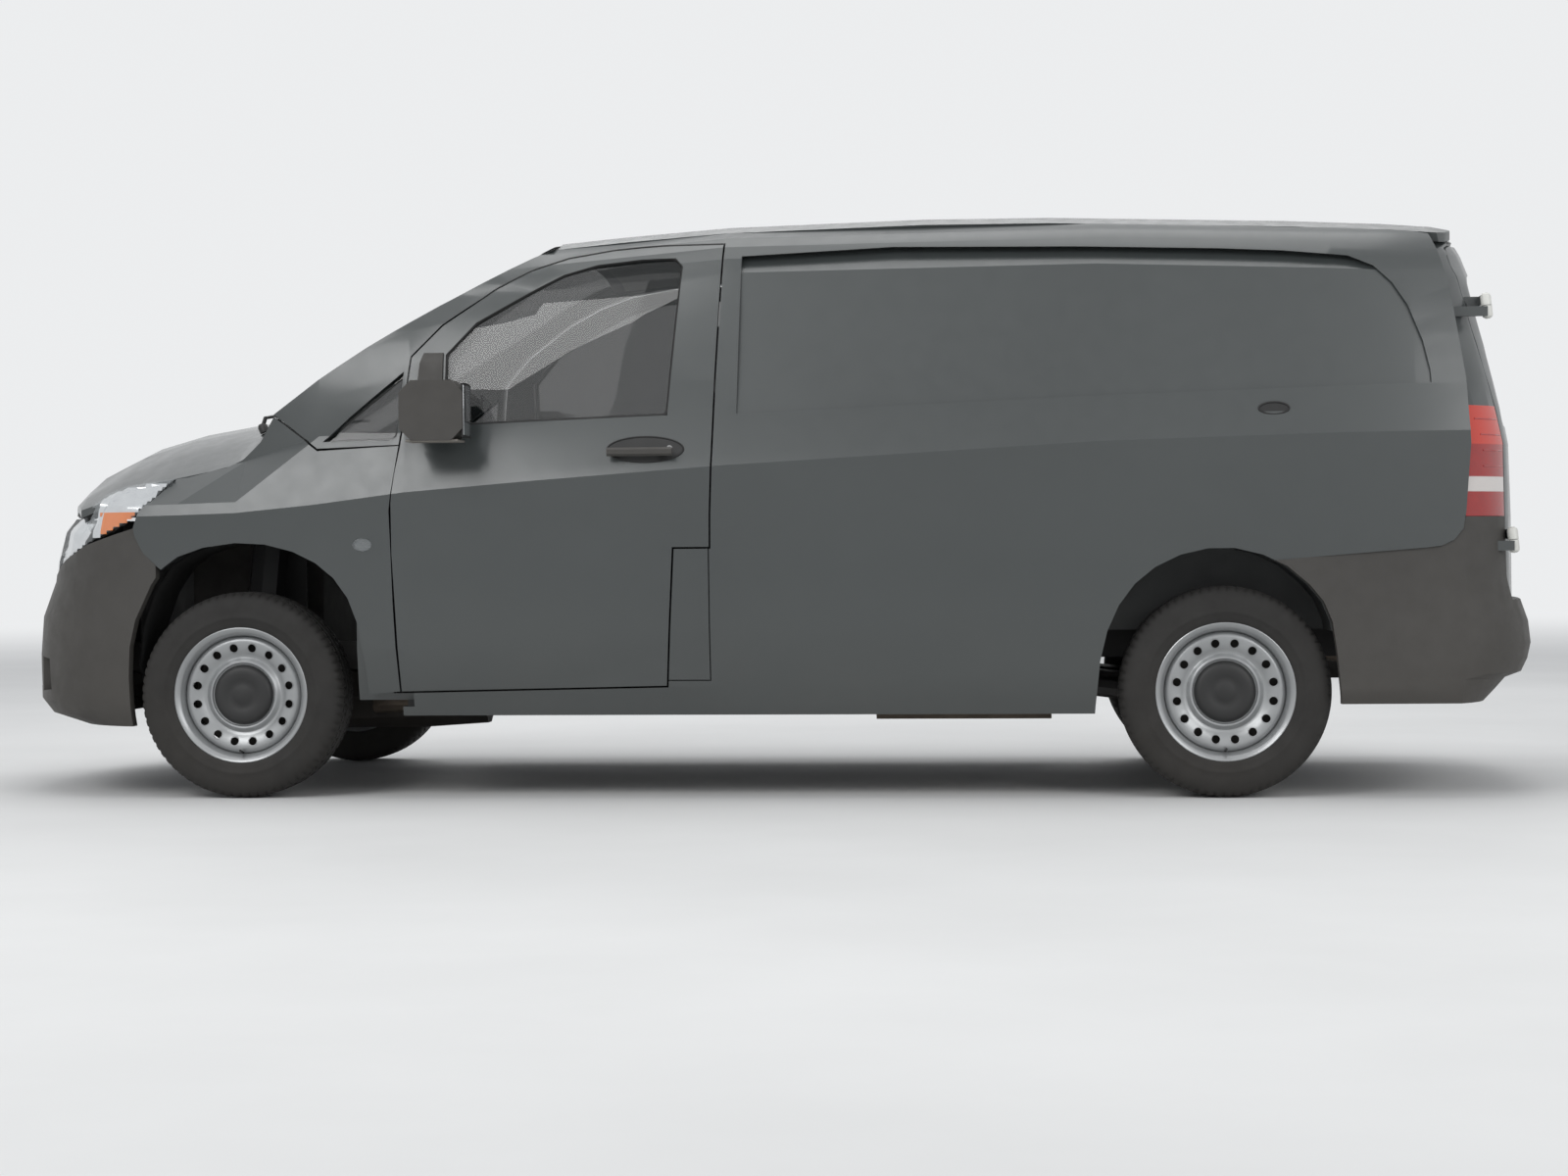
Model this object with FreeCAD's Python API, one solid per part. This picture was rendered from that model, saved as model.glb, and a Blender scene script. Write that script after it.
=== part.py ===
"""Mid-size panel van with a long body: every rigid piece as its own solid, in millimetres.

X runs from the nose to the tail, Y from the driver's side (negative) to the other, Z up from the road.
Body panels are cut out of a few curved walls (side, nose, tail, bonnet, windscreen, roof), each lofted
through sections that share the same character lines, so neighbouring panels flow into each other.
"""
import FreeCAD, Part
import functools
import math
import os

V = FreeCAD.Vector

# Driving dimensions
LENGTH = 5140.0
WIDTH = 1928.0
HEIGHT = 1910.0
WHEELBASE = 3200.0
FRONT_OVERHANG = 895.0
TYRE_RADIUS = 338.0
TYRE_WIDTH = 225.0
RIM_RADIUS = 221.0
WHEEL_Y = 805.0
PANEL_GAP = 6.0
SEAT = 0.3
FINENESS = 2.5
GLASS = 5.0

NOSE = -LENGTH / 2
TAIL = LENGTH / 2
FRONT_AXLE = NOSE + FRONT_OVERHANG
REAR_AXLE = FRONT_AXLE + WHEELBASE
HALF = WIDTH / 2

# Heights that several pieces share
CAB_FLOOR = 430.0
LOAD_FLOOR = 560.0
FLOOR_THICK = 30.0
AXLE_Z = TYRE_RADIUS

# Lengthwise lines that several pieces share
DOOR_FRONT = FRONT_AXLE + 520.0
DOOR_REAR = FRONT_AXLE + 1560.0
SLIDER_REAR = REAR_AXLE - 455.0
HEADER = FRONT_AXLE + 1020.0


def curve(*points):
    """Smooth function through (x, value) pairs, flat beyond both ends."""
    xs = [p[0] for p in points]
    ys = [p[1] for p in points]
    n = len(xs)
    slopes = []
    for i in range(n):
        a = max(i - 1, 0)
        b = min(i + 1, n - 1)
        slopes.append((ys[b] - ys[a]) / (xs[b] - xs[a]))

    def value(x):
        if x <= xs[0]:
            return ys[0]
        if x >= xs[-1]:
            return ys[-1]
        i = max(k for k in range(n - 1) if xs[k] <= x)
        h = xs[i + 1] - xs[i]
        t = (x - xs[i]) / h
        return (
            ys[i] * (1 + 2 * t) * (1 - t) ** 2
            + ys[i + 1] * t * t * (3 - 2 * t)
            + h * t * (1 - t) * (slopes[i] * (1 - t) - slopes[i + 1] * t)
        )

    return value


# Character lines of the body side, from the front axle and rear axle
FA = FRONT_AXLE
RA = REAR_AXLE
half_width = curve(
    (FA - 500, HALF - 80), (FA - 425, HALF - 60), (FA - 200, HALF - 27), (FA, HALF - 13),
    (FA + 260, HALF - 6), (FA + 560, HALF - 2), (FA + 1600, HALF), (RA, HALF), (RA + 350, HALF - 3),
    (RA + 600, HALF - 11), (TAIL - 270, HALF - 26), (TAIL - 200, HALF - 38),
)
lower_crease = curve((FA - 425, 470), (FA + 550, 491), (FA + 1450, 540), (FA + 2200, 598), (TAIL, 620))
main_crease = curve(
    (FA - 425, 925), (FA + 90, 940), (FA + 520, 993), (FA + 1200, 1046), (FA + 1970, 1098),
    (RA - 500, 1135), (RA + 190, 1156), (TAIL, 1165),
)
belt = curve(
    (FA - 425, 1035), (FA - 200, 1060), (FA, 1110), (FA + 260, 1185), (FA + 560, 1192),
    (FA + 1000, 1208), (FA + 1600, 1234), (RA - 700, 1275), (RA, 1294), (TAIL - 270, 1315),
)
belt_inset = curve(
    (FA - 425, 140), (FA, 150), (FA + 260, 96), (FA + 560, 55), (FA + 1000, 37), (FA + 1600, 33),
    (RA + 300, 33), (TAIL - 270, 36),
)
glass_inset = curve(
    (FA - 425, 250), (FA, 205), (FA + 260, 160), (FA + 560, 108), (FA + 1000, 90), (FA + 1600, 84),
    (RA + 300, 84), (TAIL - 270, 90),
)
rail_inset = curve(
    (FA - 425, 290), (FA, 260), (FA + 260, 225), (FA + 560, 180), (FA + 1000, 150), (FA + 1600, 136),
    (RA + 300, 136), (TAIL - 270, 145),
)
roof_crown = curve(
    (FA - 425, HEIGHT - 110), (FA + 560, HEIGHT - 98), (FA + 1020, HEIGHT - 62), (FA + 1245, HEIGHT - 42),
    (FA + 1590, HEIGHT - 17), (FA + 2240, HEIGHT), (RA - 550, HEIGHT - 1), (RA - 130, HEIGHT - 13),
    (RA + 230, HEIGHT - 25), (RA + 545, HEIGHT - 40), (RA + 700, HEIGHT - 52), (TAIL - 250, HEIGHT - 72),
)


roof_edge = curve(
    (FA - 425, HALF - 430), (FA, HALF - 390), (FA + 260, HALF - 345), (FA + 560, HALF - 300),
    (FA + 1000, HALF - 270), (FA + 1600, HALF - 264), (RA + 300, HALF - 264), (TAIL - 270, HALF - 272),
)


def roof_drop(y):
    """How far the roof lies under its crown, at a distance from the middle."""
    edge = abs(y) / (HALF - 264)
    return 48 * edge**4 * (0.55 + 0.45 * edge**4)


def side_rails(x):
    """Outer points (half width, height) of the side at a station, from the sill up to the roof edge."""
    w = half_width(x)
    top = roof_crown(x)
    crease = main_crease(x)
    return [
        (w - 62, 270.0),
        (w - 34, 362.0),
        (w - 12, lower_crease(x)),
        (w - 7, 800.0),
        (w, crease),
        (w - 11, crease + 36),
        (w - belt_inset(x), belt(x)),
        (w - glass_inset(x), 1500.0),
        (w - rail_inset(x), top - 190),
        (w - rail_inset(x) - 42, top - 106),
        (roof_edge(x), top - 48),
    ]


DEPTHS = [58, 82, 98, 100, 104, 96, 74, 46, 44, 44, 34]


def patch(a, b, c, d):
    """Flat faces between four corners: one where they lie in a plane, else two."""
    loop = [p for p, q in zip((a, b, c, d), (d, a, b, c)) if (p - q).Length > 0.01]
    if len(loop) < 3:
        return []
    if len(loop) == 3:
        return [Part.Face(Part.makePolygon(loop + loop[:1]))]
    normal = (c - a).cross(b - a)
    if abs(normal.dot(d - a)) < 0.00000001 * normal.Length:
        return [Part.Face(Part.makePolygon(loop + loop[:1]))]
    return [Part.Face(Part.makePolygon([a, b, c, a])), Part.Face(Part.makePolygon([a, c, d, a]))]


def skin(rows, ring=False):
    """Solid through rows of points, each a closed loop, with flat facets between neighbouring rows.

    A ring runs back to its first row; otherwise both end loops are closed by a flat face.
    """
    faces = []
    following = rows[1:] + rows[:1] if ring else rows[1:]
    for low, high in zip(rows, following):
        for i in range(len(low)):
            k = (i + 1) % len(low)
            faces += patch(low[i], low[k], high[k], high[i])
    if not ring:
        for row in (rows[0], rows[-1]):
            faces.append(Part.Face(Part.makePolygon(row + row[:1])))
    shell = Part.makeShell(faces)
    shell.sewShape()
    solid = Part.makeSolid(shell)
    if solid.Volume < 0:
        solid.reverse()
    return solid


def arc_points(a, m, b, steps):
    """Points along the arc through three points, without the first."""
    if (m - a).cross(b - a).Length < 1.0:
        return [a + (b - a) * (k / steps) for k in range(1, steps + 1)]
    shape = Part.Arc(a, m, b).toShape()
    return shape.discretize(steps + 1)[1:-1] + [b]


def side_section(x, start, depths):
    """Closed section of the side wall at a station, between two depths under the outer surface."""
    rails = side_rails(x)
    outer = []
    inner = []
    for i, (y, z) in enumerate(rails):
        lean = 1.0 if i > 8 else 0.0
        outer.append(V(x, -(y - start * (1 - 0.6 * lean)), z - 0.8 * start * lean))
        inner.append(V(x, -(y - depths[i] * (1 - 0.6 * lean)), z - 0.8 * depths[i] * lean))
    line = outer[:7]
    line += arc_points(outer[6], outer[7], outer[8], 4)
    line += arc_points(outer[8], outer[9], outer[10], 4)
    coarse = max(depths) > 60
    return line + [inner[i] for i in ((10, 8, 6, 2, 0) if coarse else (10, 8, 6, 5, 4, 3, 2, 1, 0))]


STATIONS = [
    FA - 425, FA - 200, FA, FA + 260, FA + 560, FA + 1000, FA + 1600, RA - 400, RA + 350, RA + 600,
    TAIL - 270, TAIL - 200,
]


def side_wall(start=0.0, depths=DEPTHS):
    """The whole left side as one curved wall."""
    return skin([side_section(x, start, depths) for x in STATIONS])


def smooth(points):
    """Points of a run: two as they are, more along a smooth curve through them."""
    if len(points) == 2:
        return points
    spline = Part.BSplineCurve()
    spline.interpolate(points)
    return spline.toShape().discretize(Deflection=FINENESS)


def prism(axis, lo, hi, *runs, grow=0.0):
    """Block along an axis whose outline is a chain of straight and smooth runs of point pairs."""
    place = {
        "x": lambda a, b: V(lo, a, b),
        "y": lambda a, b: V(a, lo, b),
        "z": lambda a, b: V(a, b, lo),
    }[axis]
    along = {"x": V(hi - lo, 0, 0), "y": V(0, hi - lo, 0), "z": V(0, 0, hi - lo)}[axis]
    loop = []
    for run in runs:
        for p in smooth([place(*q) for q in run]):
            if not loop or (p - loop[-1]).Length > 0.01:
                loop.append(p)
    if (loop[0] - loop[-1]).Length < 0.01:
        loop.pop()
    face = Part.Face(Part.makePolygon(loop + loop[:1]))
    if grow:
        face = face.makeOffset2D(grow, 2)
    return face.extrude(along)


def corners(*points):
    """Runs of a polygon with straight sides."""
    return [[a, b] for a, b in zip(points, points[1:] + points[:1])]


def block(x0, x1, y0, y1, z0, z1):
    """Box between two corners."""
    return Part.makeBox(x1 - x0, y1 - y0, z1 - z0, V(x0, y0, z0))


def bar(a, b, r):
    """Round bar between two points, with flat facets."""
    return rod(V(*a), V(*b) - V(*a), r)


def rod(start, way, r, sides=8, end=None):
    """Round bar or cone from a point along a vector, with flat facets."""
    side = way.cross(V(0, 0, 1) if abs(way.z) < 0.9 * way.Length else V(1, 0, 0))
    side.normalize()
    other = way.cross(side)
    other.normalize()
    rows = []
    for centre, radius in ((start, r), (start + way, r if end is None else end)):
        rows.append([
            centre + (side * math.cos(2 * math.pi * k / sides) + other * math.sin(2 * math.pi * k / sides)) * radius
            for k in range(sides)
        ])
    return skin(rows)


def turned(profile, origin, axis, sides):
    """Solid turned about an axis from a closed profile of (along, radius) points, with flat facets."""
    axis = V(*axis)
    axis.normalize()
    side = axis.cross(V(0, 0, 1)) if abs(axis.z) < 0.9 else axis.cross(V(1, 0, 0))
    side.normalize()
    other = axis.cross(side)
    rows = []
    for k in range(sides):
        a = 2 * math.pi * k / sides
        out = side * math.cos(a) + other * math.sin(a)
        rows.append([origin + axis * along_ + out * r for along_, r in profile])
    return skin(rows, ring=True)


def mirrored(shape):
    """The same shape on the other side of the van."""
    return shape.mirror(V(0, 0, 0), V(0, 1, 0))


def both(shape):
    """The shape and its mirror image as one compound."""
    return Part.makeCompound([shape, mirrored(shape)])


def fused(*shapes):
    """One solid out of several."""
    return shapes[0].multiFuse(list(shapes[1:])).removeSplitter()


def along(shape, axis):
    """Straight edges of a shape that run along an axis."""
    return [e for e in shape.Edges if abs(getattr(e.tangentAt(e.FirstParameter), axis)) > 0.99]


def trim(shape, *others):
    """A shape without the space of its neighbours, and without crumbs."""
    whole = shape.Volume
    for other in others:
        shape = shape.cut(other)
    return Part.makeCompound([solid for solid in shape.Solids if solid.Volume > 0.01 * whole])


def largest(shape):
    """The biggest solid of a cut, without slivers."""
    return max(shape.Solids, key=lambda s: s.Volume)



# Outlines seen from the side, as (x, z)
WHEEL_ARCH_F = [
    [(FA - 368, 150), (FA - 372, 300), (FA - 374, 438), (FA - 356, 564), (FA - 309, 671), (FA - 243, 765),
     (FA - 171, 805), (FA - 78, 829), (FA + 41, 837), (FA + 150, 820), (FA + 250, 779), (FA + 332, 712),
     (FA + 386, 622), (FA + 413, 523), (FA + 434, 345), (FA + 456, 150)],
]
WHEEL_ARCH_R = [
    [(RA - 420, 200), (RA - 404, 395), (RA - 382, 513), (RA - 341, 613), (RA - 272, 701), (RA - 173, 765),
     (RA - 74, 794), (RA + 24, 797), (RA + 141, 765), (RA + 215, 722), (RA + 268, 672), (RA + 315, 609),
     (RA + 345, 480), (RA + 361, 318), (RA + 366, 200)],
]
DOOR_EDGE_FRONT = [
    (DOOR_FRONT + 22, 350), (DOOR_FRONT + 12, 516), (DOOR_FRONT, 755), (DOOR_FRONT - 4, 925),
    (DOOR_FRONT + 5, 1043), (DOOR_FRONT + 22, 1149),
]
DOOR_EDGE_TOP = [
    (DOOR_FRONT + 56, 1440), (DOOR_FRONT + 96, 1500), (DOOR_FRONT + 177, 1559), (DOOR_FRONT + 277, 1632),
    (DOOR_FRONT + 427, 1717), (DOOR_FRONT + 577, 1767), (DOOR_FRONT + 727, 1790), (DOOR_FRONT + 876, 1800),
]
DOOR_EDGE_REAR = [
    (DOOR_REAR + 30, 1800), (DOOR_REAR + 21, 1592), (DOOR_REAR + 12, 1399), (DOOR_REAR + 1, 1206),
    (DOOR_REAR - 6, 916),
]
FLAP_TOP = 807.0
FLAP_BOTTOM = 385.0
FLAP_FRONT = DOOR_REAR - 120
FLAP_REAR = DOOR_REAR - 10
FLAP = corners((FLAP_FRONT, FLAP_TOP), (FLAP_REAR, FLAP_TOP), (FLAP_REAR + 2, FLAP_BOTTOM), (FLAP_FRONT - 22, FLAP_BOTTOM))
DOOR_HEAD = [
    DOOR_EDGE_FRONT,
    [DOOR_EDGE_FRONT[-1], DOOR_EDGE_TOP[0]],
    DOOR_EDGE_TOP,
    [DOOR_EDGE_TOP[-1], DOOR_EDGE_REAR[0]],
    DOOR_EDGE_REAR,
]
DOOR_NOTCHED = DOOR_HEAD + corners(
    DOOR_EDGE_REAR[-1], (DOOR_REAR - 7, FLAP_TOP + PANEL_GAP), (FLAP_FRONT - PANEL_GAP, FLAP_TOP + PANEL_GAP),
    (FLAP_FRONT - 23 - PANEL_GAP, 366), DOOR_EDGE_FRONT[0],
)[:4]
DOOR_PLAIN = DOOR_HEAD + corners(DOOR_EDGE_REAR[-1], (DOOR_REAR - 8, 368), DOOR_EDGE_FRONT[0])[:2]
DOOR_WINDOW = [
    [(DOOR_FRONT + 168, 1212), (DOOR_FRONT + 168, 1446)],
    [(DOOR_FRONT + 168, 1446), (DOOR_FRONT + 185, 1486), (DOOR_FRONT + 320, 1582), (DOOR_FRONT + 528, 1700),
     (DOOR_FRONT + 635, 1735), (DOOR_FRONT + 783, 1754), (DOOR_FRONT + 915, 1757)],
    [(DOOR_FRONT + 941, 1728), (DOOR_FRONT + 926, 1581), (DOOR_FRONT + 899, 1238)],
    [(DOOR_FRONT + 899, 1238), (DOOR_FRONT + 168, 1212)],
]
QUARTER_GLASS = corners(
    (DOOR_FRONT - 245, 1166), (DOOR_FRONT - 153, 1246), (DOOR_FRONT - 10, 1360), (DOOR_FRONT + 30, 1392),
    (DOOR_FRONT + 8, 1180), (DOOR_FRONT - 10, 1168),
)
PILLAR_LINE = [
    (HEADER, 1806), (HEADER - 83, 1766), (HEADER - 183, 1719), (HEADER - 335, 1631), (HEADER - 436, 1574),
    (HEADER - 589, 1485), (HEADER - 742, 1389), (HEADER - 885, 1284), (HEADER - 921, 1260),
]
SIDE_SEAM = [
    (TAIL - 294, 905), (TAIL - 281, 1243), (TAIL - 288, 1334), (TAIL - 302, 1449), (TAIL - 316, 1573),
    (TAIL - 340, 1687), (TAIL - 370, 1791), (TAIL - 400, 1880),
]
BUMPER_SPLIT_R = [
    (RA + 150, 757), (RA + 317, 771), (RA + 610, 793), (RA + 707, 813), (RA + 741, 851), (TAIL - 294, 905),
]
HOOD_SPLIT = [
    (FA - 238, 1051), (FA - 136, 1073), (FA - 41, 1096), (FA + 24, 1142), (FA + 71, 1196), (FA + 99, 1252),
]
SLIDER = [
    [(DOOR_REAR + 80, 400), (DOOR_REAR + 95, 1700)],
    [(DOOR_REAR + 95, 1700), (DOOR_REAR + 110, 1765), (DOOR_REAR + 170, 1795)],
    [(DOOR_REAR + 170, 1795), (SLIDER_REAR - 60, 1795)],
    [(SLIDER_REAR - 60, 1795), (SLIDER_REAR - 15, 1780), (SLIDER_REAR, 1735)],
    [(SLIDER_REAR, 1735), (SLIDER_REAR, 440)],
    [(SLIDER_REAR, 440), (SLIDER_REAR - 15, 395), (SLIDER_REAR - 60, 378)],
    [(SLIDER_REAR - 60, 378), (DOOR_REAR + 100, 374)],
    [(DOOR_REAR + 100, 374), (DOOR_REAR + 84, 382), (DOOR_REAR + 80, 400)],
]
EMBOSS = [
    [(DOOR_REAR + 83, 1240), (DOOR_REAR + 93, 1758)],
    [(DOOR_REAR + 93, 1758), (DOOR_REAR + 406, 1777), (DOOR_REAR + 745, 1783), (DOOR_REAR + 1140, 1774),
     (RA - 145, 1764), (RA + 203, 1749), (RA + 400, 1730)],
    [(RA + 400, 1730), (RA + 489, 1689), (RA + 540, 1637), (RA + 580, 1574), (RA + 610, 1500), (RA + 640, 1397),
     (RA + 648, 1316)],
    [(RA + 648, 1316), (RA + 112, 1300), (RA - 560, 1281), (DOOR_REAR + 520, 1264), (DOOR_REAR + 83, 1240)],
]
HEADLAMP = [
    [(FA - 560, 905), (FA - 465, 1008), (FA - 355, 1036), (FA - 238, 1051)],
    [(FA - 238, 1051), (FA - 279, 997), (FA - 335, 934), (FA - 402, 897), (FA - 553, 830), (FA - 700, 761)],
    [(FA - 700, 761), (FA - 900, 715)],
    [(FA - 900, 715), (FA - 900, 800)],
    [(FA - 900, 800), (FA - 720, 850), (FA - 640, 915), (FA - 600, 950)],
]


def side_block(runs, grow=0.0):
    """Cutter through the left side with an outline seen from the side."""
    return prism("y", -HALF - 150, -400, *runs, grow=grow)


LEAF_LOW = 540.0
LEAF_TOP = 1010.0
FLAP_THICK = 14.0


@functools.lru_cache
def body_side(slider):
    """Outer frame with the door opening, B-pillar, sill, rail and load space wall of one side."""
    outline = [
        [(DOOR_FRONT + 60, 1154), (DOOR_FRONT + 60, 300)],
        [(DOOR_FRONT + 60, 300), (DOOR_FRONT + 22, 300)],
        [(DOOR_FRONT + 22, 300), (DOOR_FRONT + 22, 240)],
        [(DOOR_FRONT + 22, 240), (RA + 150, 240)],
        [(RA + 150, 240), (RA + 150, 757)],
        BUMPER_SPLIT_R,
        SIDE_SEAM,
        [SIDE_SEAM[-1], (HEADER, 1950)],
        [(HEADER, 1950), PILLAR_LINE[0]],
        PILLAR_LINE,
        [PILLAR_LINE[-1], (DOOR_FRONT - 262, 1144)],
        [(DOOR_FRONT - 262, 1144), (DOOR_FRONT + 60, 1154)],
    ]
    wall = side_wall()
    side = wall.common(side_block(outline))
    door = DOOR_PLAIN if slider else DOOR_NOTCHED
    side = side.cut(side_block(door, PANEL_GAP))
    side = side.cut(side_block(QUARTER_GLASS))
    side = side.cut(side_block(WHEEL_ARCH_R))
    recess = side_wall(-6, [9] * 11).common(side_block(EMBOSS))
    side = side.cut(recess)
    if slider:
        side = side.cut(side_block(SLIDER, PANEL_GAP))
        track = side_wall(-6, [20] * 11)
        line = corners(
            (SLIDER_REAR + 20, 1168), (SLIDER_REAR + 20, 1196), (TAIL - 420, 1206), (TAIL - 420, 1178)
        )
        side = side.cut(track.common(side_block(line)))
    else:
        pocket = side_wall(-6, [22] * 11).common(side_block(FLAP, 4))
        side = side.cut(pocket)
    pillar = corners(
        (DOOR_FRONT - 130, 1165), (DOOR_FRONT - 130, 320), (DOOR_FRONT + 60, 320), (DOOR_FRONT + 60, 342),
        (DOOR_FRONT - 16, 342), (DOOR_FRONT - 16, 1165),
    )
    pillar = side_wall(44, [max(d, 70) for d in DEPTHS]).common(side_block(pillar))
    side = largest(side).fuse(largest(pillar))
    side = side.fuse(door_leaves(DOOR_FRONT - 20, DOOR_FRONT - SEAT, 44))
    if not slider:
        stop = corners(
            (FLAP_FRONT + 20, FLAP_TOP - 60), (FLAP_REAR - 40, FLAP_TOP - 60),
            (FLAP_REAR - 40, FLAP_TOP - 90), (FLAP_FRONT + 20, FLAP_TOP - 90),
        )
        side = side.fuse(side_wall(FLAP_THICK + SEAT, [26] * 11).common(side_block(stop)))
    return side


def door_leaves(front, rear, start):
    """Hinge leaves of a cab door, between two planes across the van."""
    wall = side_wall(start, [72] * 11)
    leaves = [
        largest(wall.common(side_block(corners((front, z - 32), (rear, z - 32), (rear, z + 32), (front, z + 32)))))
        for z in (LEAF_LOW, LEAF_TOP)
    ]
    return Part.makeCompound(leaves)


@functools.lru_cache
def cab_door(notched):
    """Cab door as thick as the wall, with its window cut and its inner part stepped back all round."""
    outline = DOOR_NOTCHED if notched else DOOR_PLAIN
    door = side_wall().common(side_block(outline))
    deep = side_wall(24, [d + 8 for d in DEPTHS])
    inner = side_block(DOOR_PLAIN, -20)
    if notched:
        inner = inner.cut(side_block(FLAP, 26))
    door = door.cut(deep.common(side_block(outline, 4).cut(inner)))
    door = largest(door.cut(side_block(DOOR_WINDOW)))
    return largest(door.fuse(door_leaves(DOOR_FRONT, DOOR_FRONT + 26, 38)))


def door_glass():
    """Window pane of a cab door."""
    return side_wall(12, [12 + GLASS] * 11).common(side_block(DOOR_WINDOW))


REPEATER_X = FA + 422
REPEATER_Z = 828.0
REPEATER = corners(*[
    (REPEATER_X + 31 * math.cos(math.pi * k / 8), REPEATER_Z + 21 * math.sin(math.pi * k / 8)) for k in range(16)
])


@functools.lru_cache
def fender():
    """Front fender down to the sill, with its wheel arch and the step under the lamp."""
    outline = [
        [(FA - 275, 765), (FA - 331, 824), (FA - 353, 888)],
        [(FA - 353, 888), (FA - 335, 938)],
        [(FA - 335, 938), (FA - 279, 1001), (FA - 238, 1051)],
        HOOD_SPLIT,
        [HOOD_SPLIT[-1], (DOOR_FRONT - 262, 1136)],
        [(DOOR_FRONT - 262, 1136), (DOOR_FRONT + 22 - PANEL_GAP, 1149)],
        [(x - PANEL_GAP, z) for x, z in reversed(DOOR_EDGE_FRONT)],
        [(DOOR_FRONT + 22 - PANEL_GAP, 350), (FA + 430, 340)],
        [(FA + 430, 340), (FA + 200, 400)],
    ]
    panel = side_wall(0, [28] * 11).common(side_block(outline))
    panel = panel.cut(side_wall(-8, [7 + SEAT] * 11).common(side_block(REPEATER, SEAT)))
    return largest(panel.cut(side_block(WHEEL_ARCH_F)).cut(hood_space()).cut(lamp()))


def repeater():
    """Side lamp on the front fender."""
    return side_wall(-5, [7] * 11).common(side_block(REPEATER))


def fuel_flap():
    """Flap over the filler, hinged at its rear edge."""
    return side_wall(0, [FLAP_THICK] * 11).common(side_block(FLAP))


def ring_points(points):
    """Points of half a plan line and its mirror image, from one side round to the other.

    points are the middle, a point halfway, the start, middle and end of the corner, and the end of the side.
    """
    mid, half, start, bend, end, side = points
    turn = [start] + arc_points(start, bend, end, 4) + [side]
    return (
        [V(p.x, -p.y, p.z) for p in reversed(turn)]
        + arc_points(V(start.x, -start.y, start.z), mid, start, 6)[:-1]
        + turn
    )


def end_wall(plan, heights, start, depth):
    """Wall that wraps round the nose or the tail, through horizontal sections."""
    rows = []
    for z in heights:
        near = ring_points(inset(plan(z), start))
        far = ring_points(inset(plan(z), depth))
        rows.append(near + list(reversed(far)))
    return skin(rows)


def inset(points, depth):
    """A half plan line moved inwards."""
    if depth == 0:
        return points
    out = []
    for i, p in enumerate(points):
        if i == 0:
            t = V(0, 1, 0)
        else:
            t = points[min(i + 1, len(points) - 1)] - points[i - 1]
        n = V(-t.y, t.x, 0)
        n.normalize()
        if n.dot(V(-p.x, -0.35 * p.y, 0)) < 0:
            n = n * -1
        out.append(p + n * depth)
    return out


nose_setback = curve(
    (235, 150), (271, 34), (311, 2), (380, 0), (460, 0), (590, 10), (650, 32), (710, 55), (780, 64), (880, 83),
    (925, 104), (960, 131), (1010, 185), (1060, 250),
)
nose_flat = curve((780, 0), (880, 12), (960, 30), (1060, 50))
nose_tuck = curve((235, 26), (311, 7), (460, 0), (925, 0), (975, 12), (1010, 52), (1060, 118))


def nose_plan(z):
    """Half of the nose in plan at a height, from the middle round to the fender."""
    back = nose_setback(z)
    flat = nose_flat(z)
    tuck = nose_tuck(z)
    points = [(0, 0, 1, 0), (40, 350, 1, 0), (150, 660, 1, 0.05), (262, 806, 0.85, 0.3),
              (440, HALF - 70, 0.42, 0.8), (700, HALF - 33, 0, 1)]
    out = []
    for x, y, push, pull in points:
        extra = flat * max(0.0, 1 - (y / 600.0) ** 2)
        out.append(V(NOSE + x + back * push + extra, y - tuck * pull, z))
    return out


NOSE_HEIGHTS = [235, 271, 311, 460, 590, 710, 780, 880, 960, 1010, 1060]


def nose_wall(start=0.0, depth=60.0):
    """The whole curved front below the bonnet."""
    return end_wall(nose_plan, NOSE_HEIGHTS, start, depth)


tail_line = curve(
    (560, TAIL - 100), (750, TAIL - 100), (896, TAIL - 104), (1007, TAIL - 105), (1125, TAIL - 112),
    (1241, TAIL - 131), (1315, TAIL - 146), (1443, TAIL - 171), (1530, TAIL - 191), (1668, TAIL - 217),
    (1742, TAIL - 241), (1800, TAIL - 267), (1830, TAIL - 300),
)


def side_y(x, z):
    """Half width of the body side at a station and height."""
    rails = side_rails(x)
    for (y0, z0), (y1, z1) in zip(rails, rails[1:]):
        if z0 <= z <= z1:
            return y0 + (y1 - y0) * (z - z0) / (z1 - z0)
    return rails[0][0] if z < rails[0][1] else rails[-1][0]


def tail_plan(z):
    """Half of the tail in plan at a height, from the middle round to the side seam."""
    base = tail_line(z)
    scale = side_y(TAIL - 290, z) / side_y(TAIL - 290, 900)
    points = [(32, 0), (24, 300), (-12, 690), (-78, HALF - 122), (-200, HALF - 30), (-410, HALF - 10)]
    return [V(base + x, y * scale, z) for x, y in points]


TAIL_HEIGHTS = [560, 896, 1125, 1241, 1315, 1443, 1530, 1668, 1742, 1790, 1830]


def tail_wall(start=0.0, depth=70.0):
    """The whole curved rear above the bumper."""
    return end_wall(tail_plan, TAIL_HEIGHTS, start, depth)


bumper_line = curve(
    (300, 150), (340, 112), (375, 81), (393, 31), (435, 11), (486, 0), (556, 8), (600, 20), (637, 36), (700, 54),
    (760, 59), (920, 62),
)


def bumper_plan(z):
    """Half of the rear bumper in plan at a height, from the middle round to the wheel arch."""
    back = bumper_line(z)
    tuck = 14.0 if z < 340 else 0.0
    points = [(0, 0, 1), (8, 300, 1), (56, 700, 1), (128, HALF - 130, 0.75), (290, HALF - 34, 0.12), (900, HALF - 5, 0)]
    return [V(TAIL - x - back * push, y - tuck, z) for x, y, push in points]


BUMPER_HEIGHTS = [300, 340, 375, 393, 435, 486, 556, 637, 700, 920]


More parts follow.
